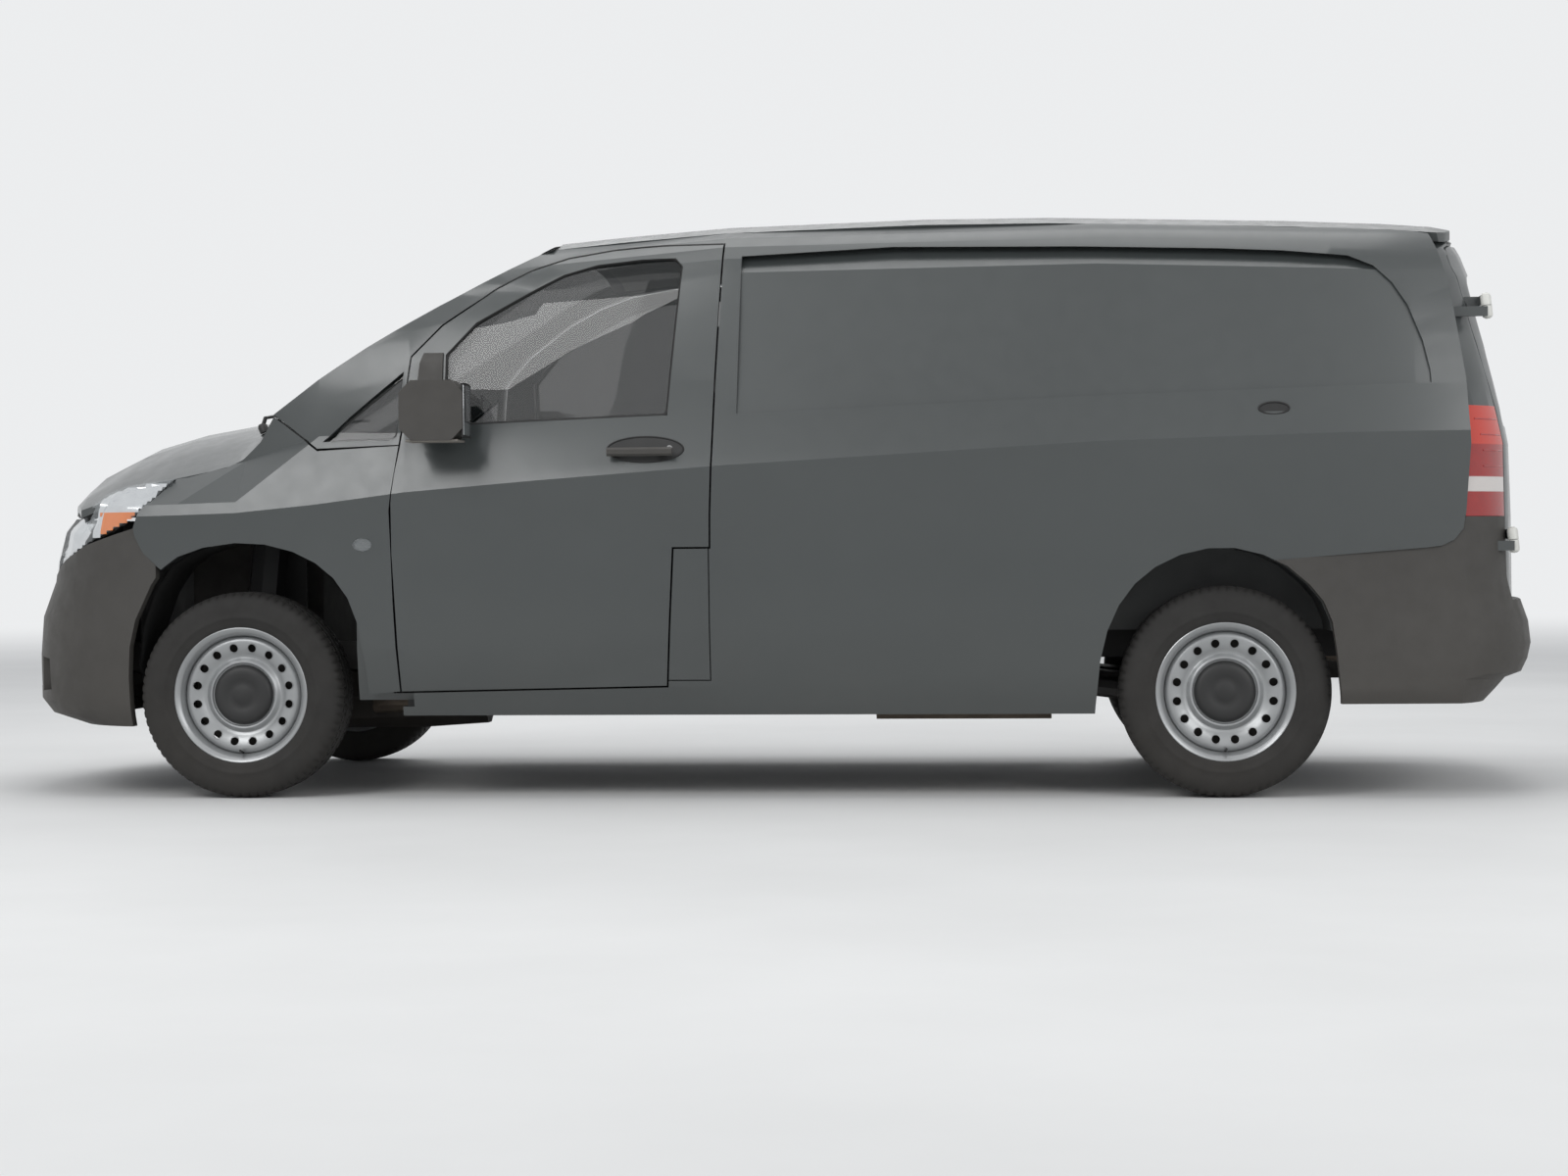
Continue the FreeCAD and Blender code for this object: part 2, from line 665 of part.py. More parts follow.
def rear_bumper():
    """Rear bumper with its step, wrapping round to both wheel arches and up to the lamps."""
    wall = end_wall(bumper_plan, BUMPER_HEIGHTS, 0.0, 46.0)
    top = [
        [(RA + 150, 757), (RA + 317, 771), (RA + 610, 793), (RA + 707, 813), (RA + 741, 851), (TAIL - 294, 891)],
        [(TAIL - 294, 891), (TAIL + 50, 891)],
        [(TAIL + 50, 891), (TAIL + 50, 250)],
        [(TAIL + 50, 250), (RA + 150, 250)],
        [(RA + 150, 250), (RA + 150, 757)],
    ]
    wall = wall.common(prism("y", -HALF - 100, HALF + 100, *top))
    wall = wall.cut(prism("y", -HALF - 100, HALF + 100, *WHEEL_ARCH_R))
    wall = wall.cut(block(TAIL - 350, TAIL + 50, -REAR_DOOR_EDGE - 8, REAR_DOOR_EDGE + 8, 626, 950))
    return largest(wall)


REAR_DOOR_EDGE = 790.0
REAR_DOOR_BOTTOM = 634.0
REAR_DOOR = [
    [(3, REAR_DOOR_BOTTOM), (REAR_DOOR_EDGE, REAR_DOOR_BOTTOM)],
    [(REAR_DOOR_EDGE, REAR_DOOR_BOTTOM), (REAR_DOOR_EDGE, 900)],
    [(REAR_DOOR_EDGE, 900), (782, 1200), (752, 1450), (700, 1650)],
    [(700, 1650), (672, 1735), (590, 1776)],
    [(590, 1776), (3, 1786)],
    [(3, 1786), (3, REAR_DOOR_BOTTOM)],
]
REAR_WINDOW = [
    [(95, 1180), (690, 1180)],
    [(690, 1180), (725, 1190), (722, 1230)],
    [(722, 1230), (695, 1440), (650, 1610)],
    [(650, 1610), (625, 1665), (570, 1680)],
    [(570, 1680), (120, 1686)],
    [(120, 1686), (90, 1676), (80, 1640)],
    [(80, 1640), (80, 1210)],
    [(80, 1210), (84, 1188), (95, 1180)],
]


def tail_block(runs, grow=0.0):
    """Cutter through the tail with an outline seen from behind, on the right side."""
    return prism("x", TAIL - 600, TAIL + 60, *runs, grow=grow)


BARREL = 14.0
LEAF = 36.0
LEAF_THICK = 16.0
HINGE_TOP = V(TAIL - 202, 765, 1566)
HINGE_LOW = V(TAIL - 130, 822, 816)


def rear_leaf(p, carried):
    """One half of a rear door hinge: a barrel on the hinge line and its arm to the door or to the body."""
    line = HINGE_TOP - HINGE_LOW
    line.normalize()
    way = line if carried else line * -1
    barrel = rod(p + way * (SEAT / 2), way * LEAF, BARREL, 10)
    low, high = (p.z + 3, p.z + LEAF - 2) if carried else (p.z - LEAF + 2, p.z - 3)
    if not carried:
        return barrel.fuse(largest(block(p.x - 110, p.x, p.y, p.y + 24, low, high).cut(tail_wall())))
    arm = block(p.x - LEAF_THICK, p.x, p.y - 56, p.y, low, high)
    foot = block(p.x - 90, p.x, p.y - 80, p.y - 56, low, high)
    return fused(barrel, arm, foot)


def rear_hinges():
    """Body halves of both rear doors' hinges."""
    halves = [largest(rear_leaf(p, False)) for p in (HINGE_TOP, HINGE_LOW)]
    return both(Part.makeCompound(halves))


def rear_door():
    """Right rear door with its window cut."""
    door = tail_wall().common(tail_block(REAR_DOOR))
    door = largest(door.cut(tail_block(REAR_WINDOW)))
    return fused(door, rear_leaf(HINGE_TOP, True), rear_leaf(HINGE_LOW, True))


def rear_glass():
    """Pane of the right rear door."""
    return tail_wall(10, 10 + GLASS).common(tail_block(REAR_WINDOW))


def seam_block(grow=0.0):
    """Everything behind the seam between body side and rear corner."""
    runs = [
        [(TAIL - 294, 500), SIDE_SEAM[0]],
        SIDE_SEAM,
        [SIDE_SEAM[-1], (TAIL + 60, 1880)],
        [(TAIL + 60, 1880), (TAIL + 60, 500)],
        [(TAIL + 60, 500), (TAIL - 294, 500)],
    ]
    return prism("y", -HALF - 100, HALF + 100, *runs)


LAMP_BOTTOM = 892.0
LAMP_TOP = 1243.0
LAMP_DEPTH = 36.0
REAR_LIFT = 10.0


def rear_opening():
    """Both rear doors with their gap, as one cutter."""
    wide = [
        [(-REAR_DOOR_EDGE, 500), (REAR_DOOR_EDGE, 500)],
        [(REAR_DOOR_EDGE, 500), (REAR_DOOR_EDGE, 900)],
        [(REAR_DOOR_EDGE, 900), (782, 1200), (752, 1450), (700, 1650)],
        [(700, 1650), (672, 1735), (590, 1776)],
        [(590, 1776), (590, 1776 + REAR_LIFT)],
        [(590, 1776 + REAR_LIFT), (0, 1786 + REAR_LIFT)],
        [(0, 1786 + REAR_LIFT), (-590, 1776 + REAR_LIFT)],
        [(-590, 1776 + REAR_LIFT), (-590, 1776)],
        [(-590, 1776), (-672, 1735), (-700, 1650)],
        [(-700, 1650), (-752, 1450), (-782, 1200), (-REAR_DOOR_EDGE, 900)],
        [(-REAR_DOOR_EDGE, 900), (-REAR_DOOR_EDGE, 500)],
    ]
    return prism("x", TAIL - 600, TAIL + 60, *wide, grow=PANEL_GAP)


def rear_frame():
    """Rear corners and header round the rear doors, with a ledge that carries each lamp."""
    wall = tail_wall().common(seam_block()).cut(rear_opening())
    lamp = tail_wall(-8, LAMP_DEPTH).common(block(TAIL - 600, TAIL + 60, -HALF, HALF, LAMP_BOTTOM, LAMP_TOP))
    wall = wall.cut(lamp)
    wall = wall.cut(block(TAIL - 600, TAIL + 60, -HALF, HALF, 500, LAMP_BOTTOM))
    return largest(wall.cut(roof()))


def tail_lamps():
    """Both upright lamps on the rear corners."""
    wall = tail_wall(0, LAMP_DEPTH).common(block(TAIL - 600, TAIL + 60, -HALF, HALF, LAMP_BOTTOM, LAMP_TOP))
    return wall.common(seam_block()).cut(rear_opening())


hood_crown = curve(
    (NOSE + 110, 850), (NOSE + 150, 925), (NOSE + 183, 995), (NOSE + 231, 1069), (NOSE + 287, 1116), (NOSE + 425, 1183),
    (NOSE + 592, 1229), (NOSE + 758, 1257), (NOSE + 842, 1270), (NOSE + 970, 1284), (NOSE + 1040, 1290),
)
hood_edge = curve(
    (NOSE + 110, 610), (NOSE + 183, 745), (NOSE + 231, 835), (NOSE + 298, 895), (NOSE + 430, 965), (NOSE + 540, 1017),
    (FA - 253, 1051), (FA - 135, 1073), (FA - 41, 1096), (FA + 24, 1142), (FA + 71, 1196), (FA + 109, 1258),
)
HOOD_Y = HALF - 168


def hood_height(x, y):
    """Height of the bonnet surface."""
    top = hood_crown(x)
    return top - (top - hood_edge(x)) * (abs(y) / HOOD_Y) ** 2.2


HOOD_STATIONS = [
    NOSE + 110, NOSE + 150, NOSE + 183, NOSE + 231, NOSE + 287, NOSE + 425, NOSE + 592, NOSE + 758, FA - 41,
    FA + 24, FA + 71, FA + 109, FA + 150,
]


def hood_wall(start=0.0, depth=26.0):
    """The curved top of the front, from fender to fender."""
    sections = []
    across = [HOOD_Y * k / 4 for k in range(-4, 5)]
    across[0] -= 20
    across[-1] += 20
    for x in HOOD_STATIONS:
        top = [V(x, y, hood_height(x, y) - start) for y in across]
        low = [V(x, y, hood_height(x, y) - depth) for y in reversed(across)]
        sections.append(top + low)
    return skin(sections)


HOOD_FRONT = [(NOSE + 165, 0), (NOSE + 172, 200), (NOSE + 197, 400), (NOSE + 232, 550), (NOSE + 292, 680)]
HOOD_SIDE = [(NOSE + 292, 680), (NOSE + 430, 735), (NOSE + 545, 768), (NOSE + 650, HOOD_Y - 10), (FA - 135, HOOD_Y - 4)]
HOOD_REAR = [(FA + 100, HOOD_Y - 4), (FA + 60, 700), (FA - 5, 450), (FA - 45, 200), (FA - 55, 0)]


def symmetric(line):
    """A line from one side across the middle to the other."""
    return line + [(x, -y) for x, y in reversed(line[:-1])]


def hood_runs():
    """Plan outline of the bonnet."""
    flip = [(x, -y) for x, y in HOOD_SIDE]
    return [
        list(reversed(symmetric(list(reversed(HOOD_FRONT))))),
        HOOD_SIDE,
        [HOOD_SIDE[-1], HOOD_REAR[0]],
        symmetric(HOOD_REAR),
        [(HOOD_REAR[0][0], -HOOD_REAR[0][1]), flip[-1]],
        list(reversed(flip)),
    ]


@functools.lru_cache
def hood():
    """Bonnet skin, cut to its plan outline."""
    return largest(hood_wall().common(prism("z", 500, 1400, *hood_runs())))


@functools.lru_cache
def hood_space():
    """Space of the bonnet with its gap all round."""
    return hood_wall(-30, 26 + PANEL_GAP).common(prism("z", 500, 1500, *hood_runs(), grow=PANEL_GAP))


screen_line = curve(
    (1140, FA - 95), (1242, FA + 75), (1275, FA + 135), (1380, FA + 278), (1476, FA + 431), (1565, FA + 584),
    (1622, FA + 685), (1711, FA + 837), (1758, FA + 930), (1800, FA + 1018), (1880, FA + 1190),
)


def screen_x(y, z):
    """Lengthwise place of the windscreen surface."""
    return screen_line(z) + 0.0002 * (y * y - 740.0**2)


@functools.lru_cache
def windscreen():
    """Curved windscreen between the pillars, the cowl and the roof."""
    sections = []
    across = [780 * k / 3 for k in range(-3, 4)]
    for z in (1200, 1242, 1380, 1565, 1711, 1800, 1880):
        front = [V(screen_x(y, z), y, z) for y in across]
        back = [V(screen_x(y, z) + 11, y, z) for y in reversed(across)]
        sections.append(front + back)
    pane = skin(sections)
    edge = corners((-HALF + 172, 1234), (HALF - 172, 1234), (HALF - 262, 1900), (-HALF + 262, 1900))
    pane = pane.common(prism("x", FA - 300, HEADER - 1, *edge))
    left = side_wall()
    return largest(pane.cut(left).cut(mirrored(left)).cut(roof_wall(False)).cut(hood_space()))


def roof_wall(tail):
    """Roof skin between the two side walls."""
    sections = []
    stations = [HEADER, FA + 1245, FA + 1590, FA + 2240, RA - 550, RA + 230, RA + 545, RA + 700, TAIL - 285, TAIL - 268]
    for x in stations:
        top = roof_crown(x)
        edge = roof_edge(x)
        across = [edge * k / 4 for k in range(-4, 5)]
        high = [V(x, y, top - roof_drop(y * (HALF - 264) / edge)) for y in across]
        low = [V(x, y * (edge - 13.6) / edge, top - roof_drop(y * (HALF - 264) / edge) - 27.2) for y in reversed(across)]
        sections.append(high + low)
    return skin(sections)


@functools.lru_cache
def roof():
    """Roof panel with its rear edge rounded in plan to follow the tail."""
    rear = symmetric([(TAIL - 372, 730), (TAIL - 325, 660), (TAIL - 288, 560), (TAIL - 272, 350), (TAIL - 268, 0)])
    sides_and_front = corners((TAIL - 372, -730), (HEADER - 60, -760), (HEADER - 60, 760), (TAIL - 372, 730))[:3]
    return trim(roof_wall(True).common(prism("z", 1500, 2000, rear, *sides_and_front)), *sides())


# Pieces of the front
LAMP_END = 425.0
GRILLE = corners((-405, 706), (405, 706), (470, 800), (425, 925), (-425, 925), (-470, 800))
INTAKE = corners((-470, 352), (470, 352), (430, 470), (-430, 470))


@functools.lru_cache
def lamp():
    """Left headlamp, wrapping from the grille round to the fender."""
    lens = nose_wall(0, 46).common(prism("y", -HALF - 100, -LAMP_END, *HEADLAMP))
    lens = lens.cut(prism("x", NOSE - 50, FA, *corners((-LAMP_END - 10, 690), (-300, 690), (-300, 960), (-LAMP_END - 60, 960))))
    return largest(lens.cut(hood_cutter()).cut(prism("x", NOSE - 50, NOSE + 400, *GRILLE, grow=SEAT)))


def hood_cutter():
    """Space of the bonnet with its gap, for the pieces round it."""
    return hood_wall(-30, 26 + PANEL_GAP)


@functools.lru_cache
def front_bumper():
    """Front bumper from arch to arch, with its intake, lamp pockets and chin."""
    wall = nose_wall(0, 46)
    under = [
        [(FA - 275, 765), (FA - 331, 824), (FA - 353, 888)],
        [(FA - 353, 888), (FA - 402, 893), (FA - 553, 826), (FA - 700, 757), (FA - 900, 702)],
        [(FA - 900, 702), (FA - 1000, 702)],
        [(FA - 1000, 702), (FA - 1000, 200)],
        [(FA - 1000, 200), (FA - 275, 200)],
        [(FA - 275, 200), (FA - 275, 765)],
    ]
    wall = wall.common(prism("y", -HALF - 100, HALF + 100, *under))
    wall = wall.cut(prism("y", -HALF - 100, HALF + 100, *WHEEL_ARCH_F))
    wall = wall.cut(prism("x", NOSE - 50, NOSE + 250, *INTAKE))
    wall = wall.cut(prism("x", NOSE - 50, NOSE + 250, *GRILLE)).cut(both(lamp()))
    pocket = corners((575, 340), (745, 352), (735, 455), (600, 462))
    for side in (1, -1):
        cut = prism("x", NOSE - 60, NOSE + 400, *[[(y * side, z) for y, z in run] for run in pocket])
        wall = wall.cut(cut.common(nose_wall(-10, 26)))
    return largest(wall)


def grille():
    """Upper grille: a frame, two broad slats, a round boss and a mesh wall behind."""
    wall = nose_wall(4, 34).common(prism("x", NOSE - 50, NOSE + 300, *GRILLE))
    open_area = prism("x", NOSE - 50, NOSE + 300, *corners((-380, 728), (380, 728), (438, 800), (400, 903), (-400, 903), (-438, 800)))
    frame = wall.cut(open_area)
    pieces = [largest(frame)]
    inner = nose_wall(4, 34).common(open_area)
    for low in (756, 826):
        pieces.append(largest(inner.common(block(NOSE - 50, NOSE + 300, -HALF, HALF, low, low + 40))))
    boss = rod(V(NOSE + 66, 0, 814), V(60, 0, 7), 84, 24)
    net = nose_wall(33, 40).common(prism("x", NOSE - 50, NOSE + 300, *GRILLE))
    pieces.append(boss)
    pieces.append(largest(net))
    return fused(*pieces)


def intake_grille():
    """Lower intake with its upright and level bars."""
    area = prism("x", NOSE - 50, NOSE + 250, *INTAKE)
    wall = nose_wall(14, 32).common(area)
    slots = []
    for k in range(3):
        low = 366 + k * 34
        slots.append(block(NOSE - 50, NOSE + 250, -420, 420, low, low + 22))
    return largest(wall.cut(Part.makeCompound(slots)))


@functools.lru_cache
def cowl():
    """Panel between bonnet and windscreen."""
    rear = [(FA + 112, HOOD_Y - 4), (FA + 95, 700), (FA + 40, 450), (FA + 10, 200), (FA + 3, 0)]
    runs = [
        symmetric([(x + PANEL_GAP, y) for x, y in HOOD_REAR]),
        [(HOOD_REAR[0][0] + PANEL_GAP, -HOOD_REAR[0][1]), (rear[0][0], -rear[0][1])],
        symmetric([(x, -y) for x, y in rear]),
        [rear[0], (HOOD_REAR[0][0] + PANEL_GAP, HOOD_REAR[0][1])],
    ]
    panel = hood_wall(6, 30).common(prism("z", 500, 1400, *runs))
    return largest(panel.common(block(FA - 300, FA + 300, -HALF + 196, HALF - 196, 900, 1500)).cut(windscreen()))


@functools.lru_cache
@functools.lru_cache
def floors():
    """Cab floor with its sills, load floor with its step and sills, and the wheel houses on it."""
    sides = []
    stations = [DOOR_REAR + 20, RA - 400, RA + 350, RA + 600, TAIL - 290, TAIL - 176]
    for x in stations:
        sides.append((x, min(half_width(x), half_width(TAIL - 290)) - 112 if x > TAIL - 290 else half_width(x) - 112))
    plan = [(x, -y) for x, y in sides] + [(x, y) for x, y in reversed(sides)]
    load = prism("z", LOAD_FLOOR - FLOOR_THICK, LOAD_FLOOR, *corners(*plan))
    cab = block(DOOR_FRONT - 50, DOOR_REAR + 20, -HALF + 122, HALF - 122, CAB_FLOOR - FLOOR_THICK, CAB_FLOOR)
    step = block(DOOR_REAR + 20, DOOR_REAR + 50, -HALF + 122, HALF - 122, CAB_FLOOR - FLOOR_THICK, LOAD_FLOOR)
    cab_sill = block(DOOR_FRONT + 24, DOOR_REAR + 20, -HALF + 122, -HALF + 160, 300, CAB_FLOOR - FLOOR_THICK)
    load_sill = block(DOOR_REAR + 20, RA - 425, -HALF + 122, -HALF + 160, 300, LOAD_FLOOR - FLOOR_THICK)
    house = prism("y", -HALF + 108, -HALF + 366, *WHEEL_ARCH_R, grow=12)
    well = prism("y", -HALF, -HALF + 354, *WHEEL_ARCH_R)
    cross = block(TAIL - 240, TAIL - 176, -HALF + 150, HALF - 150, 440, LOAD_FLOOR - FLOOR_THICK)
    under = block(RA - 600, RA + 600, -HALF, -HALF + 400, 100, LOAD_FLOOR - FLOOR_THICK)
    front = fused(cab, cab_sill, mirrored(cab_sill))
    rear = fused(load, step, cross, load_sill, mirrored(load_sill)).cut(both(well))
    return front, rear, both(house.cut(under).cut(well).cut(rear))


@functools.lru_cache
def rails(front):
    """Lengthwise members under the floor with their cross members, in front of or behind the toe board."""
    top = [
        (FA - 560, 500), (FA + 330, 500), (FA + 560, CAB_FLOOR - FLOOR_THICK), (DOOR_REAR - 40, CAB_FLOOR - FLOOR_THICK),
        (DOOR_REAR + 90, LOAD_FLOOR - FLOOR_THICK), (TAIL - 240, LOAD_FLOOR - FLOOR_THICK),
    ]
    line = top + [(x, z - 96) for x, z in reversed(top)]
    beam = prism("y", -450, -385, *corners(*line))
    pieces = [beam, mirrored(beam)]
    for x, z in ((FA - 560, 410), (FA + 640, 310), (DOOR_REAR + 300, 440), (RA - 640, 440), (RA + 520, 440)):
        pieces.append(block(x, x + 60, -400, 400, z, z + 70))
    split = block(FA + 560, TAIL, -HALF, HALF, 0, HEIGHT)
    whole = fused(*pieces)
    return whole.cut(split) if front else whole.common(split)


@functools.lru_cache
def firewall():
    """Wall between engine and cab, from the toe board up to the cowl."""
    face = [(FA + 470, 400), (FA + 448, 600), (FA + 395, 820), (FA + 325, 1000), (FA + 70, 1130), (FA + 30, 1215)]
    back = [(x + 22, z + 8) for x, z in reversed(face)]
    wall = prism("y", -HALF + 172, HALF - 172, *corners(*(face + back)))
    return largest(wall.cut(hood_space()).cut(cowl()).cut(both(fender())))


def wheel_liners():
    """Curved sheets over the front wheels."""
    ring = prism("y", -HALF + 30, -600, *WHEEL_ARCH_F, grow=44).cut(prism("y", -HALF, -500, *WHEEL_ARCH_F, grow=38))
    ring = largest(ring.common(block(FA - 500, FA + 500, -HALF, 0, 300, 900)))
    towers = front_suspension()
    return trim(both(ring), both(fender()), front_bumper(), *sides(), towers, *floors(), firewall())


@functools.lru_cache
def engine():
    """Engine and gearbox as one plain mass."""
    motor = block(FA - 330, FA + 130, -300, 300, 330, 980)
    motor = motor.makeChamfer(40, along(motor, "x"))
    box = rod(V(FA + 100, 0, 300), V(560, 0, -16), 150, 10, 95)
    return fused(motor, box.common(block(FA, FA + 800, -200, 200, 180, 392)))


def radiator():
    """Radiator pack behind the grille, on the front cross member."""
    pack = block(FA - 560, FA - 500, -370, 370, 480, 900)
    lock = block(FA - 548, FA - 512, -40, 40, 880, 1250).cut(hood_wall(-60, 26 + SEAT))
    return pack.fuse(largest(lock))


@functools.lru_cache
def driveline():
    """Propeller shaft, final drive and the half shafts out to the rear hubs."""
    shaft = bar((FA + 640, 0, 285), (RA - 170, 0, 318), 32)
    case = turned([(-110, 0), (-90, 70), (-40, 110), (40, 110), (90, 70), (110, 0)], V(RA - 20, 0, 325), (1, 0, 0), 12)
    nose = bar((RA - 175, 0, 318), (RA - 60, 0, 322), 55)
    axle = bar((RA, -676, AXLE_Z), (RA, 676, AXLE_Z), 22)
    return fused(shaft, case, nose, axle)


@functools.lru_cache
def rear_suspension():
    """Rear frame, trailing arms, hub carriers and springs."""
    frame = bar((RA - 480, -560, 370), (RA - 480, 560, 370), 38)
    pieces = [frame]
    for side in (1, -1):
        arm = bar((RA - 480, 520 * side, 350), (RA, 640 * side, 300), 34)
        inner = bar((RA - 480, 250 * side, 350), (RA - 40, 640 * side, 285), 28)
        carrier = block(RA - 60, RA + 60, min(630 * side, 698 * side), max(630 * side, 698 * side), 230, 440)
        stub = rod(V(RA, 690 * side, AXLE_Z), V(0, 48 * side, 0), 52, 16)
        coil = rod(V(RA - 120, 560 * side, 290), V(0, 0, LOAD_FLOOR - FLOOR_THICK - 290), 52, 12)
        pieces += [arm, inner, carrier, stub, coil]
    mounts = [block(RA - 520, RA - 440, side * 417 - 32, side * 417 + 32, 360, 435) for side in (1, -1)]
    return fused(*(pieces + mounts))


KINGPIN_Y = 690.0
STUB_END = 745.0


@functools.lru_cache
def front_suspension():
    """Front frame, lower arms and struts."""
    pieces = [block(FA - 90, FA + 160, -400, 400, 215, 285)]
    for side in (1, -1):
        pieces.append(block(FA + 20, FA + 100, side * 417 - 33, side * 417 + 33, 230, 420))
        pieces.append(bar((FA + 120, 380 * side, 245), (FA, KINGPIN_Y * side, 190), 22))
        pieces.append(bar((FA - 60, 380 * side, 245), (FA, KINGPIN_Y * side, 190), 22))
        pieces.append(rod(V(FA, KINGPIN_Y * side, 175), V(0, 0, 232 - SEAT - 175), 30, 12))
    frame = fused(*pieces).cut(block(FA + 85, FA + 200, -160, 160, 150, 400))
    struts = []
    for side in (1, -1):
        low = (FA, KINGPIN_Y * side - 42 * side, 470.3)
        high = (FA + 18, 560 * side, 850)
        tube_ = bar(low, high, 27)
        coil = bar((FA + 8, 618 * side, 600), (FA + 17, 568 * side, 830), 62)
        struts.append(tube_.fuse(coil).common(block(FA - 200, FA + 200, -900, 900, 470.3, 900)))
    towers = [block(FA - 80, FA + 110, min(440 * s, 590 * s), max(440 * s, 590 * s), 838, 862) for s in (1, -1)]
    webs = [block(FA - 80, FA + 110, min(440 * s, 452 * s), max(440 * s, 452 * s), 490, 850) for s in (1, -1)]
    whole = [frame] + [fused(a, b, c) for a, b, c in zip(struts, towers, webs)]
    return Part.makeCompound(whole)


def knuckle():
    """Left steered hub carrier with its stub."""
    body = block(FA - 48, FA + 48, -KINGPIN_Y - 14, -KINGPIN_Y + 42, 232, 440)
    boss = rod(V(FA, -KINGPIN_Y + 30, 232), V(0, 0, 238), 30, 12)
    stub = rod(V(FA, -KINGPIN_Y, AXLE_Z), V(0, KINGPIN_Y - STUB_END, 0), 46, 16)
    arm = bar((FA + 20, -KINGPIN_Y + 20, 300), (FA + 150, -KINGPIN_Y + 60, 300), 15)
    return fused(body, boss, stub, arm)


HOLES = 16
HOLE_CIRCLE = 156.0
HOLE_RADIUS = 13.5
BEAD = 206.0
TYRE_SIDES = 28


def tyre(x):
    """Plain tyre."""
    w = TYRE_WIDTH / 2
    r = TYRE_RADIUS
    profile = [(-84, BEAD), (84, BEAD), (w - 4, 262), (w - 6, r - 24), (w - 32, r), (32 - w, r), (6 - w, r - 24), (4 - w, 262)]
    return turned(profile, V(x, -WHEEL_Y, AXLE_Z), (0, -1, 0), TYRE_SIDES)


def rim(x, stub_end):
    """Pressed steel wheel with its ring of round holes, hub cap, hub and brake disc."""
    hub = WHEEL_Y - stub_end - SEAT
    centre = V(x, -WHEEL_Y, AXLE_Z)
    bead = BEAD * math.cos(math.pi / TYRE_SIDES) - SEAT
    profile = [
        (-88, bead), (-96, RIM_RADIUS), (-96, 190), (48, 186), (40, 104),
        (-hub, 104), (-hub, 0), (62, 0), (47, 100), (66, 134), (66, 174), (90, 196),
        (96, RIM_RADIUS), (88, bead),
    ]
    wheel = turned(profile, centre, (0, -1, 0), 20)
    holes = []
    for k in range(HOLES):
        a = 2 * math.pi * (k + 0.5) / HOLES
        spot = centre + V(HOLE_CIRCLE * math.cos(a), -20, HOLE_CIRCLE * math.sin(a))
        holes.append(rod(spot, V(0, -60, 0), HOLE_RADIUS, 6))
    wheel = wheel.cut(Part.makeCompound(holes))
    return wheel


def seat(y):
    """Cab seat on its plinth."""
    base = block(DOOR_FRONT + 420, DOOR_FRONT + 900, y - 190, y + 190, CAB_FLOOR, 620)
    cushion = block(DOOR_FRONT + 372, DOOR_FRONT + 900, y - 250, y + 250, 620, 770)
    cushion = cushion.makeChamfer(45, along(cushion, "y"))
    back = prism("y", y - 240, y + 240, *corners(
        (DOOR_FRONT + 800, 700), (DOOR_FRONT + 930, 690), (DOOR_FRONT + 1030, 1120), (DOOR_FRONT + 1040, 1340),
        (DOOR_FRONT + 960, 1345), (DOOR_FRONT + 905, 1130),
    ))
    back = back.makeChamfer(30, along(back, "y"))
    head = block(DOOR_FRONT + 960, DOOR_FRONT + 1050, y - 125, y + 125, 1392, 1560)
    head = head.makeChamfer(35, along(head, "y"))
    posts = [rod(V(DOOR_FRONT + 1003, y + s * 60, 1320), V(0, 0, 90), 8, 8) for s in (1, -1)]
    return base, cushion.fuse([back, head] + posts)


def dashboard():
    """Instrument panel across the cab."""
    line = corners(
        (FA + 120, 1175), (FA + 380, 1205), (FA + 560, 1190), (FA + 690, 1130), (FA + 715, 1030), (FA + 640, 880),
        (FA + 540, 760), (FA + 440, 745), (FA + 380, 800), (FA + 320, 1010),
    )
    return trim(prism("y", -740, 740, *line), firewall())


WHEEL_HUB = (FA + 870, -400, 1030)
COLUMN = (0.82, 0, 0.57)


def steering_wheel():
    """Steering wheel with its hub and three spokes."""
    axis = V(*COLUMN)
    axis.normalize()
    centre = V(*WHEEL_HUB)
    section = [(15 * math.sin(a), 188 + 15 * math.cos(a)) for a in [2 * math.pi * k / 5 for k in range(5)]]
    ring = turned(section, centre, COLUMN, 18)
    hub = rod(centre - axis * 45, axis * 60, 62, 16)
    down = axis.cross(V(0, 1, 0))
    spokes = []
    for angle in (0, 180, 270):
        a = math.radians(angle)
        way = V(0, 1, 0) * math.cos(a) + down * math.sin(a)
        spokes.append(bar(tuple(centre - axis * 10 + way * 40), tuple(centre + way * 186), 13))
    column = rod(centre - axis * 120, axis * 90, 24, 12)
    return fused(ring, hub, column, *spokes)


def column_shroud():
    """Cover over the steering column on the dashboard."""
    axis = V(*COLUMN)
    axis.normalize()
    start = V(*WHEEL_HUB) - axis * 420
    shell = rod(start, axis * (300 - SEAT), 48, 12)
    return shell.cut(dashboard())


@functools.lru_cache
def exhaust():
    """Pipe and silencer under the load floor."""
    pot = block(RA - 1130, RA - 550, -640, -380, 236, 410)
    pot = pot.makeChamfer(60, along(pot, "x"))
    pipe = bar((FA + 300, -260, 270), (RA - 1120, -420, 300), 28)
    rise = bar((RA - 560, -350, 340), (RA - 380, -350, 470), 26)
    over = bar((RA - 380, -350, 470), (RA + 200, -350, 470), 26)
    tail = bar((RA + 200, -350, 470), (RA + 700, -470, 395), 26)
    link = bar((RA - 600, -430, 340), (RA - 560, -350, 340), 26)
    straps = [block(x, x + 30, -500, -460, 380, LOAD_FLOOR - FLOOR_THICK) for x in (RA - 1000, RA - 600, RA + 480)]
    return fused(pot, pipe, link, rise, over, tail, *straps)


